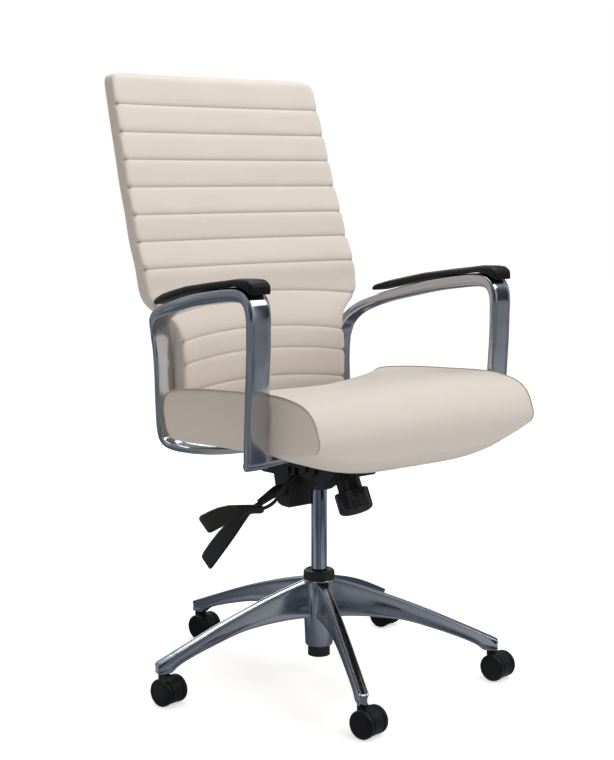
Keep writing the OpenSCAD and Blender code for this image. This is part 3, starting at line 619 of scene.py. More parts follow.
@dataclass
class SeatCushion:
    """Waterfall seat: one panel wraps over top and front, and two side panels join it at welted seams."""

    finishes: FinishLibrary
    # seam of the side panel from the rear over the top to the front: behind the front edge, below the top
    seam_line: list[Station] = field(default_factory=lambda: [
        (450, 62), (447, 46), (436, 34), (408, 25), (325, 15), (238, 9), (131, 3), (77, 6), (41, 15),
        (20, 31), (9, 53), (5, 72), (14, 86)])
    # bottom edge of the side panel, from the front to the rear
    hem_line: list[Station] = field(default_factory=lambda: [
        (14, 86), (44, 94), (78, 99), (140, 104), (207, 107), (300, 112), (403, 118), (436, 112),
        (448, 90), (450, 62)])
    # the same two lines in the seat's middle
    middle_top: list[Station] = field(default_factory=lambda: [
        (455, 82), (450, 64), (436, 55), (408, 47), (325, 27), (238, 12), (140, 1), (92, -3), (52, 5),
        (23, 25), (5, 52), (0, 82), (10, 114)])
    middle_base: list[Station] = field(default_factory=lambda: [
        (10, 114), (28, 132), (62, 143), (100, 139), (200, 134), (320, 134), (420, 134), (448, 128),
        (456, 106), (455, 82)])
    # divisions across the seat, along each outline, and down a side panel
    across: int = 44
    around: int = 56
    side_steps: int = 10
    # how far the foam swells on top and at the sides
    crown: float = 5.0
    side_bulge: float = 5.0
    welt_radius: float = 1.1
    # height of the gathers beside the seams
    pucker: float = 0.5

    def build(self) -> list[bpy.types.Object]:
        """Make the cushion and its welts.

        Returns:
            The pieces.
        """
        low, high = box_mm("seat_cushion")
        self.half = (high.x - low.x) / 2
        self.front = low.y
        self.top = high.z
        cushion = self.body()
        dress(cushion, self.finishes.of(CUSHION_SLOT))
        refine(cushion, 1)
        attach(cushion, SEAT_BODY)
        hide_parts("seat_cushion")
        pieces = [cushion]
        for side, word in ((1, "right"), (-1, "left")):
            path = [self.place(side * (self.half - 0.2), p) for p in self.line(self.seam_line)]
            welt = mesh_piece(f"seat_welt_{word}", *swept_cord(path, self.welt_radius))
            # the welt's darker leather is painted shade along the seam
            dress(welt, self.finishes.seam)
            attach(welt, SEAT_BODY)
            pieces.append(welt)
        return pieces

    def place(self, x: float, p: Station) -> Point:
        """Point in the chair's frame of a point given behind the front edge and below the top."""
        return (x, self.front + p[0], self.top - p[1])

    def line(self, points: Sequence[Station]) -> list[Station]:
        """Even steps along one of the outlines."""
        return [spline(points, i / self.around) for i in range(self.around + 1)]

    def ring(self, share: float) -> list[Station]:
        """Section of the cushion.

        Args:
            share: 0 in the middle of the seat, 1 or -1 at its side seams.

        Returns:
            Points from the rear over the top to the front, and back underneath.
        """
        a = abs(share)
        ring = []
        for edge, middle, powers in (
            (self.seam_line, self.middle_top, (1.5, 3.4)),
            (self.hem_line, self.middle_base, (3.7, 3.4)),
        ):
            e, m = self.line(edge), self.line(middle)
            for i in range(self.around):
                u = i / self.around
                w = a ** mix(*powers, ease(u * 1.4))
                p = Vector((mix(m[i][0], e[i][0], w), mix(m[i][1], e[i][1], w)))
                way = Vector(e[i + 1]) - Vector(e[max(i - 1, 0)])
                out = Vector((way.y, -way.x)).normalized()
                rise = math.sin(math.pi * min(1.0, 0.12 + u)) if edge is self.seam_line else 0.0
                lift = self.crown * (1 - a**9) * rise
                ring.append(tuple(p + out * lift))
        return ring

    def stations(self) -> list[float]:
        """Places across the seat, closer together near the seams."""
        steps = [2 * i / self.across - 1 for i in range(self.across + 1)]
        return [math.copysign(1 - (1 - abs(s)) ** 1.45, s) for s in steps]

    def body(self) -> bpy.types.Object:
        """Closed mesh of the wrapping panel and the two side panels.

        Returns:
            The cushion.
        """
        rings = []
        for share in self.stations():
            rings.append([self.softened(self.place(share * self.half, p), share) for p in self.ring(share)])
        points, faces = loft(rings)
        for side in (-1, 1):
            edge = rings[0] if side < 0 else rings[-1]
            base = len(points)
            n = 2 * self.around
            for i in range(self.around + 1):
                upper, lower = Vector(edge[i]), Vector(edge[(n - i) % n])
                reach = math.sin(math.pi * i / self.around) ** 0.5
                for j in range(self.side_steps + 1):
                    t = j / self.side_steps
                    p = upper.lerp(lower, t)
                    swell = math.sin(math.pi * min(t * 1.15, 1.0)) ** 0.6 if 0 < t < 1 else 0.0
                    points.append((p.x + side * self.side_bulge * reach * swell, p.y, p.z))
            for i in range(self.around):
                for j in range(self.side_steps):
                    a = base + i * (self.side_steps + 1) + j
                    faces.append([a, a + 1, a + self.side_steps + 2, a + self.side_steps + 1])
        return mesh_piece("seat_cushion_leather", points, faces)

    def softened(self, p: Point, share: float) -> Point:
        """A point of the wrapping panel with small gathers beside the seams and slow undulations."""
        near = math.exp(-(((1 - abs(share)) * self.half) / 16) ** 2) * (1 - abs(share) ** 40)
        gather = self.pucker * near * math.sin((p[1] - p[2]) / 5.5)
        slow = 1.2 * noise.noise(Vector(p) / 110) * (1 - abs(share) ** 8)
        return (p[0], p[1], p[2] + gather + slow)


# ---------- back ----------


@dataclass
class BackRest:
    """Channel-stitched back: twelve padded channels that wrap its edges, and a panel behind the shell."""

    finishes: FinishLibrary
    # front face at the side: height above the lower edge, distance behind the lower edge's face
    edge_line: list[Station] = field(default_factory=lambda: [
        (0, 0), (49, 0), (104, 1), (146, 9), (213, 31), (266, 43), (315, 64), (364, 79), (415, 98),
        (466, 113), (517, 129), (569, 145), (610, 158), (629, 164)])
    # outline from the front: height above the lower edge, half width
    width_line: list[Station] = field(default_factory=lambda: [
        (0, 193), (60, 194), (120, 194.5), (148, 197), (164, 204), (178, 217), (190, 233), (203, 245),
        (222, 251), (260, 253), (320, 252), (420, 248.5), (520, 245), (596, 241.5), (612, 239.5),
        (621, 235), (626, 228), (629, 219)])
    # sewn channels: height above the lower edge
    grooves: tuple[float, ...] = (49, 104, 146, 213, 266, 315, 364, 415, 466, 517, 569)
    hollow_radius: float = 1500.0
    # half widths that the hollow is measured from, and the heights between which the back widens
    low_half: float = 195.0
    high_half: float = 248.0
    waist: float = 142.0
    waist_rise: float = 90.0
    # hollow of the lumbar channels, which fades out upwards
    lumbar_hollow: float = 6.0
    lumbar_top: float = 260.0
    lumbar_fade: float = 160.0
    # swell of a channel, and the sewn groove between two
    pillow: float = 2.6
    groove_depth: float = 1.7
    groove_width: float = 0.9
    corner: float = 3.0
    # how far the low seams sag at the sides, below this height
    sag: float = 15.0
    sag_top: float = 275.0
    sag_fade: float = 75.0
    # how much deeper the sides are below the waist
    low_wrap: float = 10.0
    low_wrap_top: float = 200.0
    low_wrap_fade: float = 20.0
    # depth of the cushion at its sides and of its foam, and how far in the shell starts
    wrap_depth: float = 29.0
    foam_depth: float = 21.0
    shell_inset: float = 8.5
    side_bulge: float = 1.2
    # rear panel's outer face behind the front one
    panel_face: float = 37.0
    panel_thick: float = 6.2
    # how far a seam draws the front edge in
    pinch: float = 6.0
    levels_per_channel: int = 14
    side_steps: int = 6
    corner_steps: int = 6
    flat_steps: int = 22
    top_round: float = 13.0

    def build(self) -> list[bpy.types.Object]:
        """Make the front cushion, the rear panel and its welt.

        Returns:
            The pieces.
        """
        low, high = box_mm("back_cushion")
        self.low, self.height = low.z, high.z - low.z
        self.face = low.y
        front = self.front_cushion()
        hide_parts("back_cushion")
        rear = self.rear_panel()
        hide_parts("back_panel")
        for piece in (front, rear):
            dress(piece, self.finishes.of(CUSHION_SLOT))
            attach(piece, SEAT_BODY)
        return [front, rear]

    def half_width(self, up: float) -> float:
        """Half width at a height above the lower edge."""
        return along(self.width_line, up)[1]

    def setback(self, up: float, share: float) -> float:
        """Distance of the front layer behind the lower edge's face, hollow across like the shell."""
        half = mix(self.low_half, self.high_half, ease((up - self.waist) / self.waist_rise))
        x = share * self.half_width(up)
        return along(self.edge_line, up)[1] + (half * half - x * x) / (2 * self.hollow_radius)

    def drop(self, up: float) -> float:
        """How far a channel's seam sags at the sides, at a height above the lower edge."""
        return self.sag * ease((self.sag_top - up) / self.sag_fade) * ease(up / 60)

    def levels(self) -> list[float]:
        """Heights of the rings, closer together beside the grooves and at the rounded top."""
        bounds = [0.0, *self.grooves, self.height]
        heights = []
        for a, b in zip(bounds, bounds[1:]):
            for k in range(self.levels_per_channel):
                t = k / self.levels_per_channel
                heights.append(mix(a, b, 0.5 - 0.5 * math.cos(math.pi * t)))
        heights.append(self.height)
        return heights

    def swell(self, up: float) -> tuple[float, float]:
        """How a channel swells at a height.

        Args:
            up: Height above the lower edge.

        Returns:
            The pillow's rise, and how close the nearest groove is, from 0 to 1.
        """
        bounds = [-14.0, *self.grooves, self.height + 22]
        i = next(k for k in range(len(bounds) - 1) if bounds[k + 1] >= up)
        t = (up - bounds[i]) / (bounds[i + 1] - bounds[i])
        size = min(1.0, (bounds[i + 1] - bounds[i]) / 50)
        rise = self.pillow * size * (1 - abs(2 * t - 1) ** 4.5)
        near = min(abs(up - g) for g in self.grooves)
        return rise, math.exp(-((near / self.groove_width) ** 2))

    def section(self, up: float) -> tuple[list[Point], list[Point]]:
        """Section at a height.

        Args:
            up: Height above the lower edge.

        Returns:
            The front from the left side to the right, and the rear from the left side to the right.
        """
        rise, groove = self.swell(up)
        over = max(0.0, up - (self.height - self.top_round))
        under = max(0.0, self.top_round - up)
        edge = self.top_round * (1 - math.sqrt(max(0.0, 1 - (max(over, under) / self.top_round) ** 2)))
        half = self.half_width(up - self.drop(up)) - 0.55 * edge
        near = min(abs(up - g) for g in self.grooves)
        pinch = self.pinch * max(0.0, 1 - near / 8) ** 1.4
        front, rear = [], []
        deep = self.wrap_depth + self.low_wrap * ease((self.low_wrap_top - up) / self.low_wrap_fade)
        deep -= 0.4 * edge if over else 0.0
        lip = up < self.shell_inset or up > self.height - self.shell_inset
        foam = min(deep, self.wrap_depth) if lip else self.foam_depth
        r = self.corner
        # front: the side, the corner, then the flat of the channel
        for k in range(self.side_steps):
            t = k / self.side_steps
            d = mix(deep / 2 + 2, r + edge * 0.8, t)
            front.append((half + self.side_bulge - pinch * t**3, d, 1.0))
        for k in range(self.corner_steps):
            a = math.pi / 2 * k / self.corner_steps
            c, s = math.cos(a), math.sin(a)
            x = half - r + (r + self.side_bulge) * c - pinch * math.cos(a * 0.8)
            front.append((x, r + edge * 0.8 - (r - edge * 0.2) * s + 0.35 * pinch * s, c))
        for k in range(self.flat_steps + 1):
            t = 1 - k / self.flat_steps
            front.append(((half - r) * t, edge, 0.0))
        # rear: the rest of the side, the lip that wraps the shell, then the foam's flat back
        for k in range(self.side_steps):
            t = k / self.side_steps
            rear.append((half + self.side_bulge, mix(deep / 2 + 2, deep - 2.5, t), 1.0))
        rear += [(half + 0.4, deep - 0.8, 1.0), (half - 1.2, deep, 1.0), (half - 4, deep, 1.0)]
        rear += [(half - self.shell_inset, deep, 1.0), (half - self.shell_inset, foam, 1.0),
                 (half - self.shell_inset - 1.5, foam, 1.0)]
        for k in range(self.flat_steps + 1):
            t = 1 - k / self.flat_steps
            rear.append(((half - self.shell_inset - 3) * t, foam, 1.0))
        return self.mirrored(up, half, front, rear, rise, groove)

    def mirrored(
        self, up: float, half: float, front: list[Station], rear: list[Station], rise: float, groove: float
    ) -> tuple[list[Point], list[Point]]:
        """Place one half section in the chair's frame and mirror it.

        Args:
            up: Height above the lower edge.
            half: Half width there.
            front: Half of the front from the side to the middle: x, depth and share of the turned corner.
            rear: The same for the rear.
            rise: Swell of the channel.
            groove: Closeness of the nearest groove.

        Returns:
            The whole front and the whole rear.
        """
        def put(station: Station, side: int, is_front: bool) -> Point:
            x, depth, turned = station
            share = min(1.0, x / half)
            height = up - self.drop(up) * share**2.2
            out = 0.0
            if is_front:
                calm = 1 - turned * 0.85
                out = (rise - self.groove_depth * groove) * calm
                out -= self.lumbar_hollow * (1 - share**2) * ease((self.lumbar_top - up) / self.lumbar_fade)
                out += 0.5 * noise.noise(Vector((side * x / 70, up / 35, 3.0))) * calm
            y = self.face + self.setback(height, share) + depth - out
            return (side * x, y, self.low + height)

        left_front = [put(s, -1, True) for s in front]
        right_front = [put(s, 1, True) for s in front[:-1]][::-1]
        left_rear = [put(s, -1, False) for s in rear]
        right_rear = [put(s, 1, False) for s in rear[:-1]][::-1]
        return left_front + right_front, left_rear + right_rear

    def front_cushion(self) -> bpy.types.Object:
        """Closed mesh of the channelled front and its wrapped edges.

        Returns:
            The cushion.
        """
        sections = [self.section(up) for up in self.levels()]
        n = len(sections[0][0])
        rings = [front + rear[-2:0:-1] for front, rear in sections]
        points, faces = loft(rings)
        for base in (0, len(points) - len(rings[0])):
            count = len(rings[0])
            for k in range(n - 1):
                a, b = base + k, base + k + 1
                c, d = base + (count - k - 1) % count, base + (count - k) % count
                faces.append([a, b, c, d] if k else [a, b, c])
        return mesh_piece("back_cushion_leather", points, faces)

    def rear_panel(self) -> bpy.types.Object:
        """Upholstered panel that closes the back behind its shell, open round the bracket.

        Returns:
            The panel.
        """
        low, high = box_mm("back_bracket")
        opening_half, opening_top = high.x + 2, high.z + 2 - self.low
        shares = [round(k / 18 - 1, 4) for k in range(37)]
        steps = 64
        ups = [mix(4, self.height - 6, k / steps) for k in range(steps + 1)]
        ups = sorted([u for u in ups if abs(u - opening_top) > 5] + [opening_top])
        points, faces = [], []
        for up in ups:
            half = self.half_width(up) - 2.0 - 8 * max(0.0, up - (self.height - 14)) / 14
            half -= 8 * ease((215 - up) / 20)
            for s in shares:
                x = s * half
                share = abs(x) / self.half_width(up)
                ends = max(ease((up - self.height + 26) / 26), ease((14 - up) / 14))
                round_off = 2.4 * max(abs(s) ** 10, ends)
                y = self.face + self.setback(up, share) + self.panel_face - round_off
                points.append((x, y, self.low + up))
        width = len(shares)
        for j in range(len(ups) - 1):
            for i in range(width - 1):
                a = j * width + i
                corners = [a, a + 1, a + width + 1, a + width]
                middle_x = sum(points[c][0] for c in corners) / 4
                if abs(middle_x) < opening_half and ups[j] < opening_top - 1:
                    continue
                faces.append(corners)
        panel = mesh_piece("back_panel_leather", points, faces)
        solid = panel.modifiers.new("thickness", "SOLIDIFY")
        solid.thickness = self.panel_thick * MM
        solid.offset = -1.0 if panel.data.polygons[len(panel.data.polygons) // 2].normal.y > 0 else 1.0
        refine(panel, 1)
        return panel


# ---------- arms ----------


def cast_section(width: float, thick: float, points: int = 40) -> list[tuple[float, float]]:
    """Section of a cast bar: a flat outer face with rounded edges and a rounder inner belly.

    Args:
        width: Width across the bar.
        thick: Thickness from the outer face to the belly.
        points: Points round the section.

    Returns:
        Points as (across, out).
    """
    ring = []
    for k in range(points):
        a = 2 * math.pi * k / points
        square = 0.36 if math.sin(a) > 0 else 0.62
        across = math.copysign(abs(math.cos(a)) ** 0.42, math.cos(a))
        out = math.copysign(abs(math.sin(a)) ** square, math.sin(a))
        ring.append((across * width / 2, out * thick / 2))
    return ring


@dataclass
class Arms:
    """Looped arm castings with buffed, rounded edges, and the soft pads on top of them."""

    finishes: FinishLibrary
    # centre line: inboard of the loop's plane, behind the front face, above the lowest face, width, thickness
    loop: list[Station] = field(default_factory=lambda: [
        (0, 17, 22, 45, 12), (0, 17, 28, 45, 13), (0, 17, 38, 45, 15), (0, 16, 68, 45, 16),
        (0, 13, 128, 45, 15.5), (0, 9, 198, 45, 15), (0, 8, 248, 45, 15.5), (0, 9, 280, 45, 18),
        (0, 17, 299, 45, 22), (0, 33, 308, 45, 24.5), (0, 60, 308.5, 45, 25), (0, 105, 303.5, 45, 25),
        (1, 175, 292.5, 45, 24), (6, 245, 276.5, 44, 22), (16, 305, 260.5, 42, 20),
        (34, 350, 241.5, 41, 18), (52, 375, 216.5, 40, 16), (62, 384, 183.5, 39, 15),
        (65, 385, 138.5, 38, 15), (65, 383, 83.5, 38, 15), (65, 380, 40.5, 38, 14),
        (66, 372, 17.5, 38, 13), (68, 351, 7.5, 37, 12), (71, 305, 6.5, 36, 12),
        (76, 245, 11.5, 35, 12), (82, 195, 18.5, 33, 11), (88, 145, 27.5, 29, 9.5),
        (90, 117, 29.5, 24, 8), (90.5, 112, 29.6, 12, 5)])
    per_station: int = 8
    corner_set: float = 1.4
    foot_rise: float = 25.0
    foot_thick: float = 9.2
    voxel_mm: float = 1.2
    rounding: int = 4

    def build(self) -> list[bpy.types.Object]:
        """Make both castings, their feet and both pads.

        Returns:
            The pieces.
        """
        low, high = box_mm("arm_frame_right")
        self.low = low
        self.plane = high.x - self.loop[0][3] / 2
        pieces = []
        for side, word in ((1, "right"), (-1, "left")):
            for piece, slot, node in (
                (self.casting(side, word), "polished_aluminium", f"arm_frame_{word}"),
                (self.pad(word), "black_urethane", f"arm_pad_{word}"),
            ):
                dress(piece, self.finishes.of(slot))
                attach(piece, SEAT_BODY)
                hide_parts(node)
                pieces.append(piece)
        return pieces

    def casting(self, side: int, word: str) -> bpy.types.Object:
        """One arm casting.

        Args:
            side: 1 at +X, -1 at -X.
            word: Name of the side.

        Returns:
            The casting.
        """
        count = (len(self.loop) - 1) * self.per_station
        stations = [spline(self.loop, j / count) for j in range(count + 1)]
        rings = []
        for j, (inboard, behind, above, width, thick) in enumerate(stations):
            before, after = stations[max(j - 1, 0)], stations[min(j + 1, count)]
            way = Vector((after[1] - before[1], after[2] - before[2])).normalized()
            out_y, out_z = -way.y, way.x
            ring = []
            y, z = self.low.y + self.corner_set + behind, self.low.z + above
            for across, out in cast_section(width, thick):
                ring.append((side * (self.plane - inboard + across), y + out * out_y, z + out * out_z))
            rings.append(ring)
        points, faces = [], []
        add_rings(points, faces, rings, capped=True)
        self.add_foot(points, faces, side)
        piece = mesh_piece(f"arm_casting_{word}", points, faces)
        piece.data.set_sharp_from_angle(angle=math.radians(40))
        return piece

    def add_foot(self, points: list[Point], faces: list[list[int]], side: int) -> None:
        """Add the flat foot that turns inboard under the seat from the front leg.

        Args:
            points: Points of the casting so far, in millimetres.
            faces: Faces of the casting so far.
            side: 1 at +X, -1 at -X.
        """
        half = self.loop[0][3] / 2
        low = self.low.y + self.corner_set
        outline = [(half - 1, low + 10), (half - 1, low + 23), (-half - 8, low + 31)]
        for k in range(13):
            a = math.radians(80 + 15 * k)
            outline.append((-85 + 13 * math.cos(a), low + 34 + 13 * math.sin(a)))
        outline.append((-half, low + 10))
        centre = Vector((sum(p[0] for p in outline), sum(p[1] for p in outline))) / len(outline)
        rise, thick, edge = self.low.z + self.foot_rise, self.foot_thick, 1.6
        rings = []
        for z, inset in ((0, edge), (edge * 0.3, edge * 0.3), (edge, 0), (thick - edge, 0),
                         (thick - edge * 0.3, edge * 0.3), (thick, edge)):
            ring = []
            for p in outline:
                q = Vector(p) + (centre - Vector(p)).normalized() * inset
                ring.append((side * (self.plane + q.x), q.y, rise + z))
            rings.append(ring)
        add_rings(points, faces, rings, capped=True)

    def pad(self, word: str) -> bpy.types.Object:
        """One pad: the CAD solid's form with the rounded edges of moulded urethane.

        Args:
            word: Name of the side.

        Returns:
            The pad.
        """
        name = f"arm_pad_{word}"
        piece = bpy.data.objects.new(f"{name}_urethane", frame["nodes"][name].data.copy())
        bpy.context.scene.collection.objects.link(piece)
        remesh = piece.modifiers.new("skin", "REMESH")
        remesh.mode = "VOXEL"
        remesh.voxel_size = self.voxel_mm * MM
        remesh.use_smooth_shade = True
        smooth = piece.modifiers.new("rounding", "SMOOTH")
        smooth.factor = 0.5
        smooth.iterations = self.rounding
        bpy.context.view_layer.objects.active = piece
        for step in ("skin", "rounding"):
            bpy.ops.object.modifier_apply(modifier=step)
        return piece


# ---------- base ----------


@dataclass
class BaseStar:
    """Five-leg casting: deep webs that blend into the hub, and a rounded bead along each top edge."""

    finishes: FinishLibrary
    legs: int = 5
    first_leg: float = -116.6
    # along a leg: distance from the column, top and bottom height above the base's lower face, half width
    line: list[Station] = field(default_factory=lambda: [
        (18, 130, 58, 13.5), (30, 128.5, 58.5, 11.6), (50, 124, 59.5, 10.4), (80, 116, 60, 9.9),
        (120, 104, 58.5, 9.7), (165, 89, 53.5, 9.6), (210, 72.5, 42, 9.6), (255, 54.5, 28, 9.6),
        (288, 41, 15.5, 9.6), (300, 36, 9, 9.6), (307, 33, 3.5, 9.6), (312, 31, 0.8, 9.6),
        (330, 23.5, 0.6, 9.6), (334.5, 21.5, 0.6, 9.2), (337, 19.5, 2.4, 7.6)])
    bead: float = 2.1
    valley: float = 1.3
    hub_profile: tuple[Station, ...] = (
        (21.2, 3), (21.2, 2), (24.4, 2), (25.8, 3.4), (26.2, 6), (27.6, 40), (29.0, 64), (29.4, 100),
        (29.6, 127), (28.8, 129.9), (27.2, 131), (25.4, 131), (24.6, 129), (21.2, 10))

    def build(self) -> list[bpy.types.Object]:
        """Make the star.

        Returns:
            The piece.
        """
        low, _ = box_mm("base_star")
        self.low_z = low.z
        points: list[Point] = []
        faces: list[list[int]] = []
        for number in range(self.legs):
            self.add_leg(points, faces, math.radians(self.first_leg + 360 / self.legs * number))
        self.add_hub(points, faces)
        star = mesh_piece("base_star_casting", points, faces)
        star.data.set_sharp_from_angle(angle=math.radians(46))
        dress(star, self.finishes.of("polished_aluminium"))
        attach(star, "base")
        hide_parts("base_star")
        return [star]

    def leg_section(self, station: Station) -> list[tuple[float, float]]:
        """Section of a leg: beaded top edges round a shallow valley, and sides that draw in below.

        Args:
            station: Distance, top, bottom and half width.

        Returns:
            Points as (across, up).
        """
        _, top, bottom, half = station
        depth = top - bottom
        flare = 1.0 + 0.9 * ease((110 - station[0]) / 90)
        right = []
        for k in range(5):
            right.append((half * 0.62 * k / 4, top - self.valley * (1 - (k / 4) ** 4)))
        for k in range(7):
            a = math.radians(100 - 25 * k)
            right.append((half - self.bead * (1 - math.cos(a)), top - self.bead * (1 - math.sin(a))))
        for t in (0.12, 0.3, 0.5, 0.7, 0.86, 0.95):
            waist = 0.9 - 0.16 * math.sin(math.pi * min(1.0, t * 1.15)) * flare
            right.append((half * waist, top - self.bead * 2 - (depth - self.bead * 2) * t))
        right.append((half * 0.78, bottom + 0.2))
        right.append((half * 0.4, bottom))
        return right + [(-x, z) for x, z in reversed(right[1:])]

    def add_leg(self, points: list[Point], faces: list[list[int]], heading: float) -> None:
        """Add one leg.

        Args:
            points: Points of the star so far, in millimetres.
            faces: Faces of the star so far.
            heading: Direction of the leg, radians from +X.
        """
        c, s = math.cos(heading), math.sin(heading)
        steps = (len(self.line) - 1) * 5
        rings = []
        for j in range(steps + 1):
            station = spline(self.line, j / steps)
            far = station[0]
            section = self.leg_section(station)
            rings.append([(far * c - x * s, far * s + x * c, self.low_z + z) for x, z in section])
        add_rings(points, faces, rings, capped=True)

    def add_hub(self, points: list[Point], faces: list[list[int]], turns: int = 96) -> None:
        """Add the turned hub.

        Args:
            points: Points of the star so far, in millimetres.
            faces: Faces of the star so far.
            turns: Points round the hub.
        """
        rings = []
        for k in range(turns + 1):
            a = 2 * math.pi * k / turns
            rings.append([(r * math.cos(a), r * math.sin(a), self.low_z + z) for r, z in self.hub_profile])
        add_rings(points, faces, rings, capped=False)


# ---------- studio ----------


@dataclass
class Studio:
    """Pale floor, soft lights, a bright surround and the camera."""

    azimuth: float = -39.006
    elevation: float = 7.984
    distance: float = 2.682
    target: Point = (-0.0292, 0.0, 0.5619)
    lens: float = 69.07
    floor_glow: float = 0.55
    ambient_low: float = 0.12
    ambient_high: float = 0.78
    bright_side: Point = (0.56, -0.5, 0.66)

    def build(self) -> None:
        """Make everything round the chair."""
        self.camera()
        self.floor()
        self.surround()
        self.light("key", (1.5, -2.1, 2.7), (1.5, 1.5), 20, "#fffdfa")
        self.light("fill", (-2.6, -1.2, 1.3), (0.5, 2.0), 1.5, "#f4f6ff")
        self.light("top", (0.3, 0.0, 2.9), (1.8, 1.8), 30, "#ffffff")
        self.light("rim", (0.9, 2.4, 1.9), (1.4, 1.0), 14, "#ffffff")

    def backward(self) -> Vector:
        """Direction from the chair to the camera."""
        a, e = math.radians(self.azimuth), math.radians(self.elevation)
        return Vector((math.sin(a) * math.cos(e), -math.cos(a) * math.cos(e), math.sin(e)))

    def camera(self) -> None:
        """Make the camera at its viewing angle."""
        data = bpy.data.cameras.new("studio_camera")
        data.lens = self.lens
        data.sensor_width = 36.0
        camera = bpy.data.objects.new("studio_camera", data)
        camera.location = Vector(self.target) + self.backward() * self.distance
        camera.rotation_euler = self.backward().to_track_quat("Z", "Y").to_euler()
        bpy.context.scene.collection.objects.link(camera)
        bpy.context.scene.camera = camera

    def floor(self) -> None:
        """Make the pale floor."""
        size = 9.0
        points = [(-size, -size, 0), (size, -size, 0), (size, size, 0), (-size, size, 0)]
        floor = mesh_piece("studio_floor", [tuple(c / MM for c in p) for p in points], [[0, 1, 2, 3]])
        material, tree, shader, place = Finish("pale_floor", "#f4f4f4").start()
        shader.inputs["Roughness"].default_value = 0.9
        shader.inputs["Specular IOR Level"].default_value = 0.1
        shader.inputs["Emission Color"].default_value = linear("#ffffff")
        rays = add_node(tree, "ShaderNodeLightPath")
        # the eye sees a lit white sweep; the metal reflects a dim floor
        glow = add_node(
            tree,
            "ShaderNodeMapRange",
            {"To Min": 0.04, "To Max": self.floor_glow},
            {"Value": rays.outputs["Is Camera Ray"]},
        )
        tree.links.new(glow.outputs["Result"], shader.inputs["Emission Strength"])
        pools = add_node(
            tree, "ShaderNodeTexNoise", {"Scale": 1.1, "Detail": 1.0, "Distortion": 0.6}, {"Vector": place}
        )
        seen = add_node(tree, "ShaderNodeValToRGB", None, {"Fac": pools.outputs["Fac"]})
        set_ramp(seen, [(0.38, "#4e5661"), (0.5, "#777c84"), (0.6, "#b4b7ba")])
        dim = add_node(tree, "ShaderNodeEmission", {"Strength": 0.9}, {"Color": seen.outputs["Color"]})
        swap = add_node(
            tree,
            "ShaderNodeMixShader",
            None,
            {0: rays.outputs["Is Glossy Ray"], 1: shader.outputs[0], 2: dim.outputs[0]},
        )
        tree.links.new(swap.outputs[0], tree.nodes["Material Output"].inputs["Surface"])
        dress(floor, material)

    def surround(self) -> None:
        """Make the world: white to the eye, and a dim room with bright panels in reflections."""
        world = bpy.data.worlds.new("studio_surround")
        bpy.context.scene.world = world
        world.use_nodes = True
        tree = world.node_tree
        tree.nodes.clear()
        way = add_node(tree, "ShaderNodeTexCoord").outputs["Generated"]
        split = add_node(tree, "ShaderNodeSeparateXYZ", None, {"Vector": way})
        height = add_node(
            tree, "ShaderNodeMapRange", {"From Min": -1.0, "From Max": 1.0}, {"Value": split.outputs["Z"]}
        )
        room = add_node(tree, "ShaderNodeValToRGB", None, {"Fac": height.outputs["Result"]})
        set_ramp(room, [(0.0, "#8d8b89"), (0.42, "#4b5058"), (0.5, "#2b3038"), (0.62, "#3b4654"),
                        (0.8, "#5d6b7c"), (1.0, "#b6bfca")])
        upright = add_node(tree, "ShaderNodeMapping", {"Scale": (2.3, 2.3, 0.45)}, {"Vector": way})
        patches = add_node(
            tree,
            "ShaderNodeTexNoise",
            {"Scale": 1.3, "Detail": 1.5, "Roughness": 0.5},
            {"Vector": upright.outputs["Vector"]},
        )
        panels = add_node(
            tree,
            "ShaderNodeMapRange",
            {"From Min": 0.52, "From Max": 0.68, "To Max": 0.7},
            {"Value": patches.outputs["Fac"]},
        )
        seen = add_node(
            tree,
            "ShaderNodeMixRGB",
            {"blend_type": "MIX"},
            {"Fac": panels.outputs["Result"], 1: room.outputs["Color"]},
        )
        seen.inputs[2].default_value = linear("#f4f6f8")
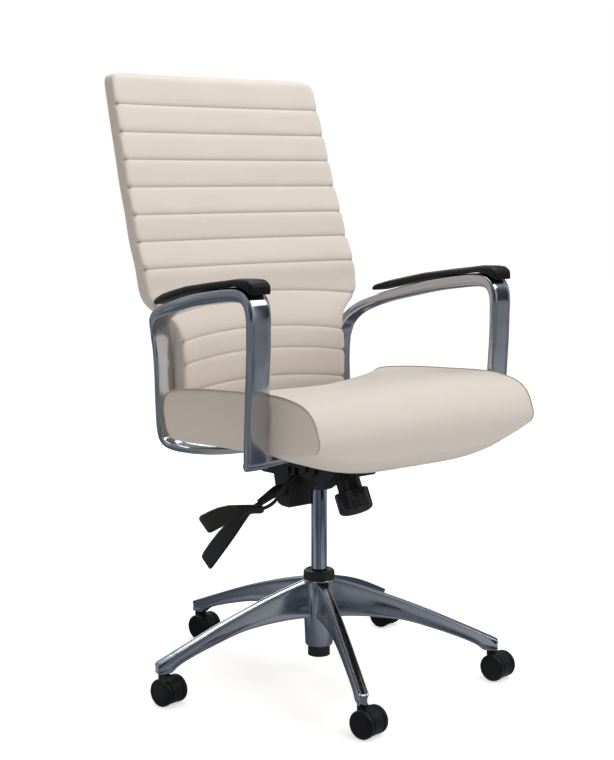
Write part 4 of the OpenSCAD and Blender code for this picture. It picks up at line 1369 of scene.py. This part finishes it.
        # a pale sweep behind the chair brightens what faces up and back
        behind = add_node(
            tree,
            "ShaderNodeMapRange",
            {"From Min": 0.15, "From Max": 0.95, "To Max": 0.55},
            {"Value": split.outputs["Y"]},
        )
        swept = add_node(
            tree,
            "ShaderNodeMixRGB",
            {"blend_type": "MIX"},
            {"Fac": behind.outputs["Result"], 1: seen.outputs["Color"]},
        )
        swept.inputs[2].default_value = linear("#c4c9cf")
        rays = add_node(tree, "ShaderNodeLightPath")
        reflected = add_node(
            tree, "ShaderNodeBackground", {"Strength": 0.9}, {"Color": swept.outputs["Color"]}
        )
        lean = add_node(tree, "ShaderNodeVectorMath", {"operation": "DOT_PRODUCT"}, {0: way})
        lean.inputs[1].default_value = self.bright_side
        level = add_node(
            tree,
            "ShaderNodeMapRange",
            {"From Min": -1.0, "From Max": 1.0, "To Min": self.ambient_low, "To Max": self.ambient_high},
            {"Value": lean.outputs["Value"]},
        )
        facing = add_node(
            tree, "ShaderNodeMapRange", {"From Min": -1.0, "From Max": 1.0}, {"Value": lean.outputs["Value"]}
        )
        # the shaded side is lit by warm light that has bounced round the room
        warmth = add_node(tree, "ShaderNodeValToRGB", None, {"Fac": facing.outputs["Result"]})
        set_ramp(warmth, [(0.15, "#f1dfcb"), (0.8, "#fcfcfb")])
        ambient = add_node(
            tree,
            "ShaderNodeBackground",
            None,
            {"Color": warmth.outputs["Color"], "Strength": level.outputs["Result"]},
        )
        backdrop = add_node(tree, "ShaderNodeBackground", {"Color": linear("#ffffff"), "Strength": 1.0})
        inner = add_node(
            tree,
            "ShaderNodeMixShader",
            None,
            {0: rays.outputs["Is Glossy Ray"], 1: ambient.outputs[0], 2: reflected.outputs[0]},
        )
        outer = add_node(
            tree,
            "ShaderNodeMixShader",
            None,
            {0: rays.outputs["Is Camera Ray"], 1: inner.outputs[0], 2: backdrop.outputs[0]},
        )
        add_node(tree, "ShaderNodeOutputWorld", None, {"Surface": outer.outputs[0]})
        bpy.context.scene.view_settings.view_transform = "Standard"

    def light(self, name: str, place: Point, size: tuple[float, float], power: float, colour: str) -> None:
        """Add a soft rectangular light that faces the chair.

        Args:
            name: Name of the light.
            place: Its position in metres.
            size: Width and height in metres.
            power: Power in watts.
            colour: sRGB hex colour.
        """
        data = bpy.data.lights.new(name, "AREA")
        data.shape = "RECTANGLE"
        data.size, data.size_y = size
        data.energy = power
        data.color = linear(colour)[:3]
        lamp = bpy.data.objects.new(name, data)
        lamp.location = place
        aim = Vector((0.0, 0.0, 0.55)) - Vector(place)
        lamp.rotation_euler = aim.to_track_quat("-Z", "Y").to_euler()
        bpy.context.scene.collection.objects.link(lamp)


def main() -> None:
    """Build the chair's looks in order and report each piece."""
    Studio().build()
    finishes = FinishLibrary()
    DressedFrame(finishes).build()
    for assembly in (SeatCushion(finishes), BackRest(finishes), Arms(finishes), BaseStar(finishes)):
        for piece in assembly.build():
            LOG.info("%s: %d vertices", piece.name, len(piece.data.vertices))


if __name__ == "__main__":
    main()
